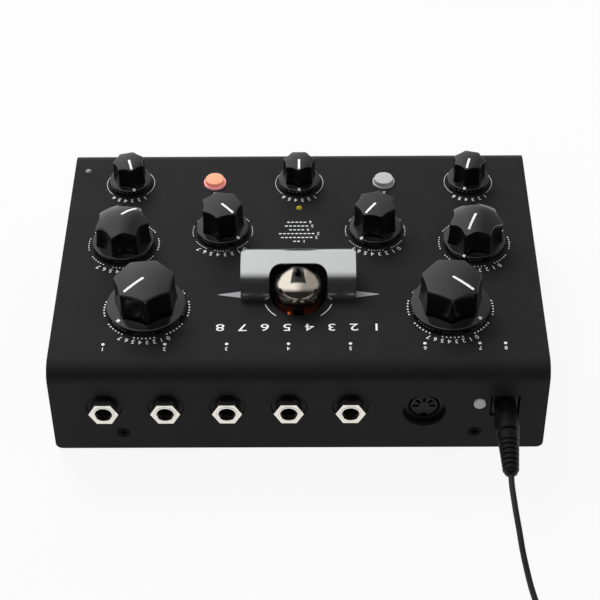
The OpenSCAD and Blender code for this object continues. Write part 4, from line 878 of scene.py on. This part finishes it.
# The film's lower edge wanders, and lies lower toward the sides of the dome
wander = maths(getter, "MULTIPLY_ADD", getter_cloud, FILM_WANDER * MM, -FILM_WANDER / 2 * MM)
out_share = maths(getter, "ABSOLUTE", maths(getter, "MULTIPLY", getter_axes["X"], 1 / (GLASS_R * MM)))
film_z = maths(getter, "MULTIPLY_ADD", maths(getter, "POWER", out_share, 2.0), FILM_RISE * MM,
               maths(getter, "ADD", getter_axes["Z"], wander))
film_share = maths(getter, "MULTIPLY_ADD", film_z, 1 / (FILM_FADE * MM), -FILM_LOW / FILM_FADE, clamp=True)
film_colour = ramp(getter, film_share, (0.09, 0.025, 0.01), (0.86, 0.78, 0.67),
                   ((0.3, (0.26, 0.09, 0.035)), (0.5, (0.5, 0.32, 0.18)), (0.68, (0.76, 0.65, 0.52))))
# A painted dark reflection of the tip runs back over it from just in front of it, wider toward the viewer
patch_y = maths(getter, "SUBTRACT", getter_axes["Y"], VALVE_AT[1] * MM)
patch_half = maths(getter, "MULTIPLY_ADD", patch_y, 0.15, PATCH_HALF * MM)
patch_in = maths(getter, "SUBTRACT", patch_half, maths(getter, "ABSOLUTE", getter_axes["X"]))
patch_sides = maths(getter, "MULTIPLY_ADD", patch_in, 1 / (0.5 * MM), 0.5, clamp=True)
patch_near = maths(getter, "SUBTRACT", PATCH_FRONT * MM, patch_y)
patch_front = maths(getter, "MULTIPLY_ADD", patch_near, 1 / (0.8 * MM), 0.5, clamp=True)
# Painted reflection: the film's colour falls to three percent inside the patch
painted_reflection_tone = maths(getter, "MULTIPLY_ADD", maths(getter, "MULTIPLY", patch_sides, patch_front), -0.97, 1.0)
film_tone = node_in(getter, "ShaderNodeVectorMath", {0: film_colour, "Scale": painted_reflection_tone}, operation="SCALE")
feed(getter, getter_shader, {"Metallic": 1.0, "Base Color": film_tone.outputs[0],
                             "Alpha": maths(getter, "MULTIPLY_ADD", film_share, 1.7, 0.05, clamp=True),
                             "Roughness": maths(getter, "MULTIPLY_ADD", getter_cloud, 0.1, 0.04)})
getter_profile = np.vstack(([(GLASS_R - FILM_IN, PANEL - 3.0)],
                            dome(GLASS_R - FILM_IN, VALVE_TOP - FILM_IN, DOME_H - FILM_IN)))
getter_shell = skin("getter_mirror", aimed(lathe(getter_profile, VALVE_SIDES), VALVE_AT), ends=False)
thickened(place(getter_shell, getter_finish, "case", "electrode"), FILM_T)

# Valve inside: a dark core in the glass tip, a painted reflection that stands in for the dark look of the
# tip, anodes between two mica discs, tinted and glowing red as painted light from the heaters, two heaters
# that glow at their upper end, nickel pins and the ceramic socket on its own board.
TIP_CORE = [(0, -1.1), (1.5, -1.0), (1.0, 0.9), (0.75, 2.0), (0.45, 3.1), (0.0, 3.8)]
HEATERS = [(2.6, 49.4), (-3.4, 46.5)]
HEATER_R = 0.42
HEATER_LOW = 43.5
HEATER_Y = 3.4
glow_at = VALVE_AT + (0, 3.5, 47.0)
# The anodes' red tint and faint glow near the heaters are painted light from the heaters, not a glow of their
# own
anode = lit("anode_painted_glow", (0.14, 0.03, 0.012), 0.16, 0.45, (0.01, 0.003, 0.002), glow_at, 9.0)
# The tip core is painted reflection: a dark piece inside the glass tip for the dark look the tip gets from
# its surroundings
tip_core_painted = grained("tip_core_painted", (0.012, 0.01, 0.008), 0.15, metallic=0.6, scale=900, depth=0.02)
tip_core = skin("tip_core", aimed(lathe(np.array(TIP_CORE) + (0, VALVE_TOP), 24), VALVE_AT))
place(tip_core, tip_core_painted, "case", "electrode")
ceramic = grained("socket_ceramic", (0.62, 0.6, 0.54), 0.4, tone=0.1, scale=900, depth=0.06)
heater_glow = lit("heater_glow", (1.0, 0.2, 0.03), 0.6, 0.5, (0.5, 0.05, 0.0), glow_at, 8.0)
for heater_x, heater_top in HEATERS:
    heater_profile = soft_profile([(0, HEATER_LOW), (HEATER_R, HEATER_LOW), (HEATER_R, heater_top),
                                   (0, heater_top)], 0.2)
    heater = aimed(lathe(heater_profile, 16), VALVE_AT + (heater_x, HEATER_Y, 0))
    place(skin("heater_slit", heater), heater_glow, "case", "electrode")
finish_node("valve_electrodes", anode)
finish_node("valve_pins", nickel)
finish_node("valve_socket", ceramic)

# Valve guard: an arch of satin steel sheet over the valve, notched round the glass, with two rounded far
# corners. Its tabs go through slots in the panel.
GUARD_R = 14.2
GUARD_T = 0.9
GUARD_HALF = 25.65
GUARD_CORNER = 9.0
CORNER_Y = -3.2
NOTCH_HALF = 13.0
NOTCH_R = 6.0
NOTCH_Y = 3.9
GUARD_AT = CASE_AT + (0, 18.5, PANEL - CASE_AT[2])
TAB_W = 5.0
TAB_L = 4.0
TAB_XS = {-1: 9.6625, 1: 19.325}


def guard_sheet(name):
    """The arch's outer skin: columns along X, rows by the angle round the axis from the far foot to the near
    one. In plan the far edge ends in two quarter circles, and the notch's edge is a line with two quarter
    circles; each is turned into an angle by its arc sine, and the rows are spread evenly between the two.
    Cells outside are left out."""
    bend = np.sin(np.radians(np.arange(0, 91, 7.5)))
    flat_half = GUARD_HALF - GUARD_CORNER
    mid_half = NOTCH_HALF - NOTCH_R
    side = np.concatenate((np.linspace(0, mid_half, 5)[:-1], mid_half + NOTCH_R * bend,
                           [(NOTCH_HALF + flat_half) / 2], flat_half + GUARD_CORNER * bend))
    x = np.concatenate((-side[:0:-1], side))
    out = np.abs(x)
    far_y = CORNER_Y - np.sqrt(GUARD_CORNER**2 - np.clip(out - flat_half, 0, GUARD_CORNER)**2)
    notch_y = NOTCH_Y + NOTCH_R - np.sqrt(NOTCH_R**2 - np.clip(out - mid_half, 0, NOTCH_R)**2)
    low = np.arcsin(far_y / GUARD_R)
    high = np.arcsin(notch_y / GUARD_R)
    tongue = np.linspace(-np.pi / 2, low.min(), 7)[:-1, None] + 0 * x
    body = low + (high - low) * np.linspace(0, 1, 31)[:, None]
    skirts = np.linspace(high.max(), np.pi / 2, 10)[1:, None] + 0 * x
    turn = np.concatenate((tongue, body, skirts))
    grid = np.stack((0 * turn + x, GUARD_R * np.sin(turn), GUARD_R * np.cos(turn)), axis=-1) + GUARD_AT
    index = np.arange(turn.size).reshape(turn.shape)
    cells = np.stack((index[:-1, :-1], index[:-1, 1:], index[1:, 1:], index[1:, :-1]), axis=-1)
    row = np.arange(len(cells))[:, None]
    widest = np.maximum(out[:-1], out[1:])
    narrowest = np.minimum(out[:-1], out[1:])
    kept = (row >= len(tongue)) | (widest < flat_half + 0.01)
    kept &= (row < len(tongue) + len(body) - 1) | (narrowest > NOTCH_HALF - 0.01)
    used, faces = np.unique(cells[kept], return_inverse=True)
    mesh = bpy.data.meshes.new(name)
    mesh.from_pydata((grid.reshape(-1, 3)[used] * MM).tolist(), [], faces.reshape(-1, 4).tolist())
    mesh.shade_smooth()
    return mesh


guard_metal = grained("satin_guard", (0.78, 0.785, 0.79), 0.2, metallic=1.0, tone=0.05, scale=2600,
                      spread=0.08, depth=0.004)
guard = place(guard_sheet("valve_arch"), guard_metal, "case", "guard_metal", "valve_guard")
thickened(guard, GUARD_T).use_even_offset = True
broken_edges(guard, 0.15)
tab_corners = np.array([(-1, -1), (1, -1), (1, 1), (-1, 1)]) * (TAB_W / 2, GUARD_T / 2)
for tab_side, tab_x in TAB_XS.items():
    for tab_hand in (-1, 1):
        tab_ring = np.column_stack((tab_corners, np.zeros(4))) + GUARD_AT
        tab_ring += (tab_hand * tab_x, tab_side * (GUARD_R - GUARD_T / 2), 0)
        tab_grid = np.stack((tab_ring - (0, 0, TAB_L), tab_ring))
        place(skin("guard_tab", tab_grid), guard_metal, "case", "guard_metal")

# Jack sockets: five insulated 6.35 mm sockets on the main board. A threaded nickel bush passes the rear wall,
# a black stepped collar keeps it clear of the cover, and a hexagon nut holds it.
JACK_Z = 28.7
BUSH_LOW = 68.3
BUSH_END = 78.0
BUSH_R = 4.5
BUSH_BORE = 3.68
SLEEVE_R = 3.66
SLEEVE_BORE = 3.27
NUT_LOW = 74.9
NUT_END = 77.9
NUT_AF = 11.4
NUT_BORE = 4.55
NUT_BEVEL = 0.1
NUT_BREAK = 0.04
MOUTH = 1.3
THREAD_PITCH = 0.45
thread = np.arange(0, 13)
sleeve_thread = np.column_stack((SLEEVE_BORE + 0.2 * (thread % 2),
                                 BUSH_END - MOUTH - 0.2 - thread * THREAD_PITCH))
BUSH_PROFILE = [(BUSH_BORE, BUSH_LOW), (BUSH_R, BUSH_LOW), (BUSH_R, BUSH_END - 0.05), (4.45, BUSH_END),
                (3.85, BUSH_END), (BUSH_BORE, BUSH_END - 0.2), (BUSH_BORE, BUSH_LOW)]
SLEEVE_PROFILE = np.vstack(([(SLEEVE_BORE, BUSH_LOW), (SLEEVE_R, BUSH_LOW), (SLEEVE_R, BUSH_END - MOUTH)],
                            sleeve_thread, [(SLEEVE_BORE, BUSH_LOW)]))


def nut_grid():
    """A hexagon ring: the outer radius is that of a straight flat at each angle, with a narrow bevel on both
    faces and a broken edge at the bore."""
    a = np.linspace(0, 2 * np.pi, 72, endpoint=False)
    one = np.ones_like(a)
    across = NUT_AF / 2 / np.cos(a % (np.pi / 3) - np.pi / 6)
    bore = NUT_BORE * one
    r = np.stack((bore, across - NUT_BEVEL, across, across, across - NUT_BEVEL, bore + NUT_BREAK, bore, bore))
    z = np.array([NUT_LOW, NUT_LOW, NUT_LOW + NUT_BEVEL, NUT_END - NUT_BEVEL, NUT_END, NUT_END,
                  NUT_END - NUT_BREAK, NUT_LOW])[:, None] * one
    return np.stack((r * np.cos(a), r * np.sin(a), z), axis=-1)


def joined(name, grids, smooth=35.0):
    """Several open grids as one mesh: each is skinned by itself, and their points and faces are joined."""
    parts = [skin(name, grid, ends=False) for grid in grids]
    work = bmesh.new()
    for part in parts:
        work.from_mesh(part)
        bpy.data.meshes.remove(part)
    whole = bpy.data.meshes.new(name)
    work.to_mesh(whole)
    work.free()
    return shade(whole, smooth)


cream_nickel = grained("nut_nickel", (0.84, 0.80, 0.74), 0.2, metallic=1.0, tone=0.12, scale=1600, depth=0.05)
# Painted shade: the thread inside each bush is near-black metal, for the shade deep in the bore
dark_bore = grained("bore_painted_shade", (0.035, 0.033, 0.03), 0.34, metallic=1.0, scale=1600)
collar_plastic = grained("collar_plastic", (0.004, 0.004, 0.0042), 0.5, scale=1100, depth=0.05,
                         specular=0.18)
socket_plastic = grained("socket_plastic", (0.0042, 0.0042, 0.0046), 0.42, scale=1100, depth=0.05,
                         specular=0.2)


def at_jacks(grid):
    """The same points at each of the five jack sockets, turned to face rearward."""
    return [aimed(grid, (x, 0.0, JACK_Z), rearward) for x in JACK_XS]


bushes = joined("jack_bush_rings", at_jacks(lathe(BUSH_PROFILE)))
place(bushes, cream_nickel, "case", "nickel", "jack_bushes")
# The bores carry painted shade in place of bright nickel
place(joined("jack_bores", at_jacks(lathe(SLEEVE_PROFILE))), dark_bore, "case", "nickel")
nuts = joined("jack_hex_nuts", at_jacks(nut_grid()), smooth=20.0)
place(nuts, cream_nickel, "case", "nickel", "jack_nuts")
cad_piece("jack_collars", collar_plastic, "socket_plastic", 0.25)
finish_node("jack_bodies", socket_plastic)

# Round socket: a black moulded five-way socket behind the wall, with a ring groove for the plug's shell, a
# key at the top and five metal contacts in its holes, darkened as painted shade of the holes.
CONTACT_PROFILE = [(0.35, -6.0), (0.62, -6.0), (0.62, -1.5), (0.35, -1.5), (0.35, -6.0)]
CONTACT_R = 3.5
DIN_AT = CASE_AT + (DIN_X, 72.5, 23.4)
cad_piece("din_socket", socket_plastic, "socket_plastic", 0.15)
contact_grids = [aimed(lathe(CONTACT_PROFILE, 20),
                       DIN_AT + (CONTACT_R * math.cos(t), 0, -CONTACT_R * math.sin(t)), rearward)
                 for t in np.radians(np.arange(-2, 3) * 45 - 90)]
# Painted shade: the contacts' metal is darkened for the shade in their holes
contacts_painted_shade = grained("contacts_painted_shade", (0.12, 0.11, 0.09), 0.4, metallic=1.0, tone=0.2, scale=1600)
place(joined("din_contacts", contact_grids), contacts_painted_shade, "case", "nickel")

# Power socket and plug: a moulded block with a square nose through the wall. The plug's metal barrel is in
# it; its moulded grip and the ribbed boot over the cord are one black rubber, and the boot droops under the
# cord's weight.
PLUG_FACE = CASE_AT + (PLUG_X, 75.0, 26.5)
PLUG_PROFILE = soft_profile([(0, 0), (4.9, 0), (4.9, 5.5), (5.3, 8.5), (5.3, 13.5), (4.9, 17.2),
                             (0, 17.2)], 1.2)
RIB_PITCH = 2.33
RIB_DEEP = 0.7
BOOT_PLAIN = 4.6
BOOT_R = 4.85
BOOT_TAPER = 1.5
BOOT_NOSE = 1.6
cad_piece("dc_socket", socket_plastic, "socket_plastic", 0.2)
finish_node("plug_barrel", nickel)
plug_rubber = grained("plug_rubber", (0.0034, 0.0034, 0.0037), 0.45, tone=0.4, scale=1300, depth=0.06,
                      specular=0.2)
grip = skin("plug_grip", aimed(lathe(PLUG_PROFILE), PLUG_FACE, rearward))
place(grip, plug_rubber, "case", "plug_rubber", "dc_plug")
boot_way = cord_path[0] - BOOT_START
boot_l = float(np.linalg.norm(boot_way))
rib_at = np.linspace(0, boot_l - BOOT_NOSE, 120)
rib_dip = np.clip(3.2 * (np.cos(2 * np.pi * (rib_at - BOOT_PLAIN) / RIB_PITCH) - 0.62), 0, 1)
rib_dip *= rib_at > BOOT_PLAIN - RIB_PITCH / 2
rib_r = BOOT_R - BOOT_TAPER * rib_at / boot_l - RIB_DEEP * rib_dip
nose_t = np.radians(np.arange(15, 91, 15))
nose = np.column_stack((rib_r[-1] - BOOT_NOSE + BOOT_NOSE * np.cos(nose_t),
                        boot_l - BOOT_NOSE + BOOT_NOSE * np.sin(nose_t)))
boot_profile = np.vstack(([(0, 0)], np.column_stack((rib_r, rib_at)), nose, [(0, boot_l)]))
boot = skin("plug_ribs", aimed(lathe(boot_profile), BOOT_START, boot_way), smooth=50)
place(boot, plug_rubber, "case", "plug_rubber", "plug_boot")

# Boards inside: three green circuit boards on brass standoffs, with their chips, capacitors, headers and
# ribbon.
mask_green = grained("solder_mask", (0.012, 0.09, 0.04), 0.35, tone=0.5, scale=500, depth=0.05)
brass = grained("standoff_brass", (0.62, 0.46, 0.22), 0.35, metallic=1.0, tone=0.15, scale=1400)
zinc = grained("zinc_screws", (0.58, 0.58, 0.6), 0.35, metallic=1.0, tone=0.15, scale=1400)
sleeve_blue = grained("capacitor_sleeve", (0.02, 0.025, 0.06), 0.4, scale=900)
ribbon_grey = grained("ribbon_grey", (0.3, 0.3, 0.31), 0.55, tone=0.2)
for node, finish in (("main_board", mask_green), ("panel_board", mask_green), ("valve_board", mask_green),
                     ("board_standoffs", brass), ("board_screws", zinc), ("board_chips", switch_plastic),
                     ("board_capacitors", sleeve_blue), ("link_headers", switch_plastic),
                     ("link_ribbon", ribbon_grey)):
    finish_node(node, finish)
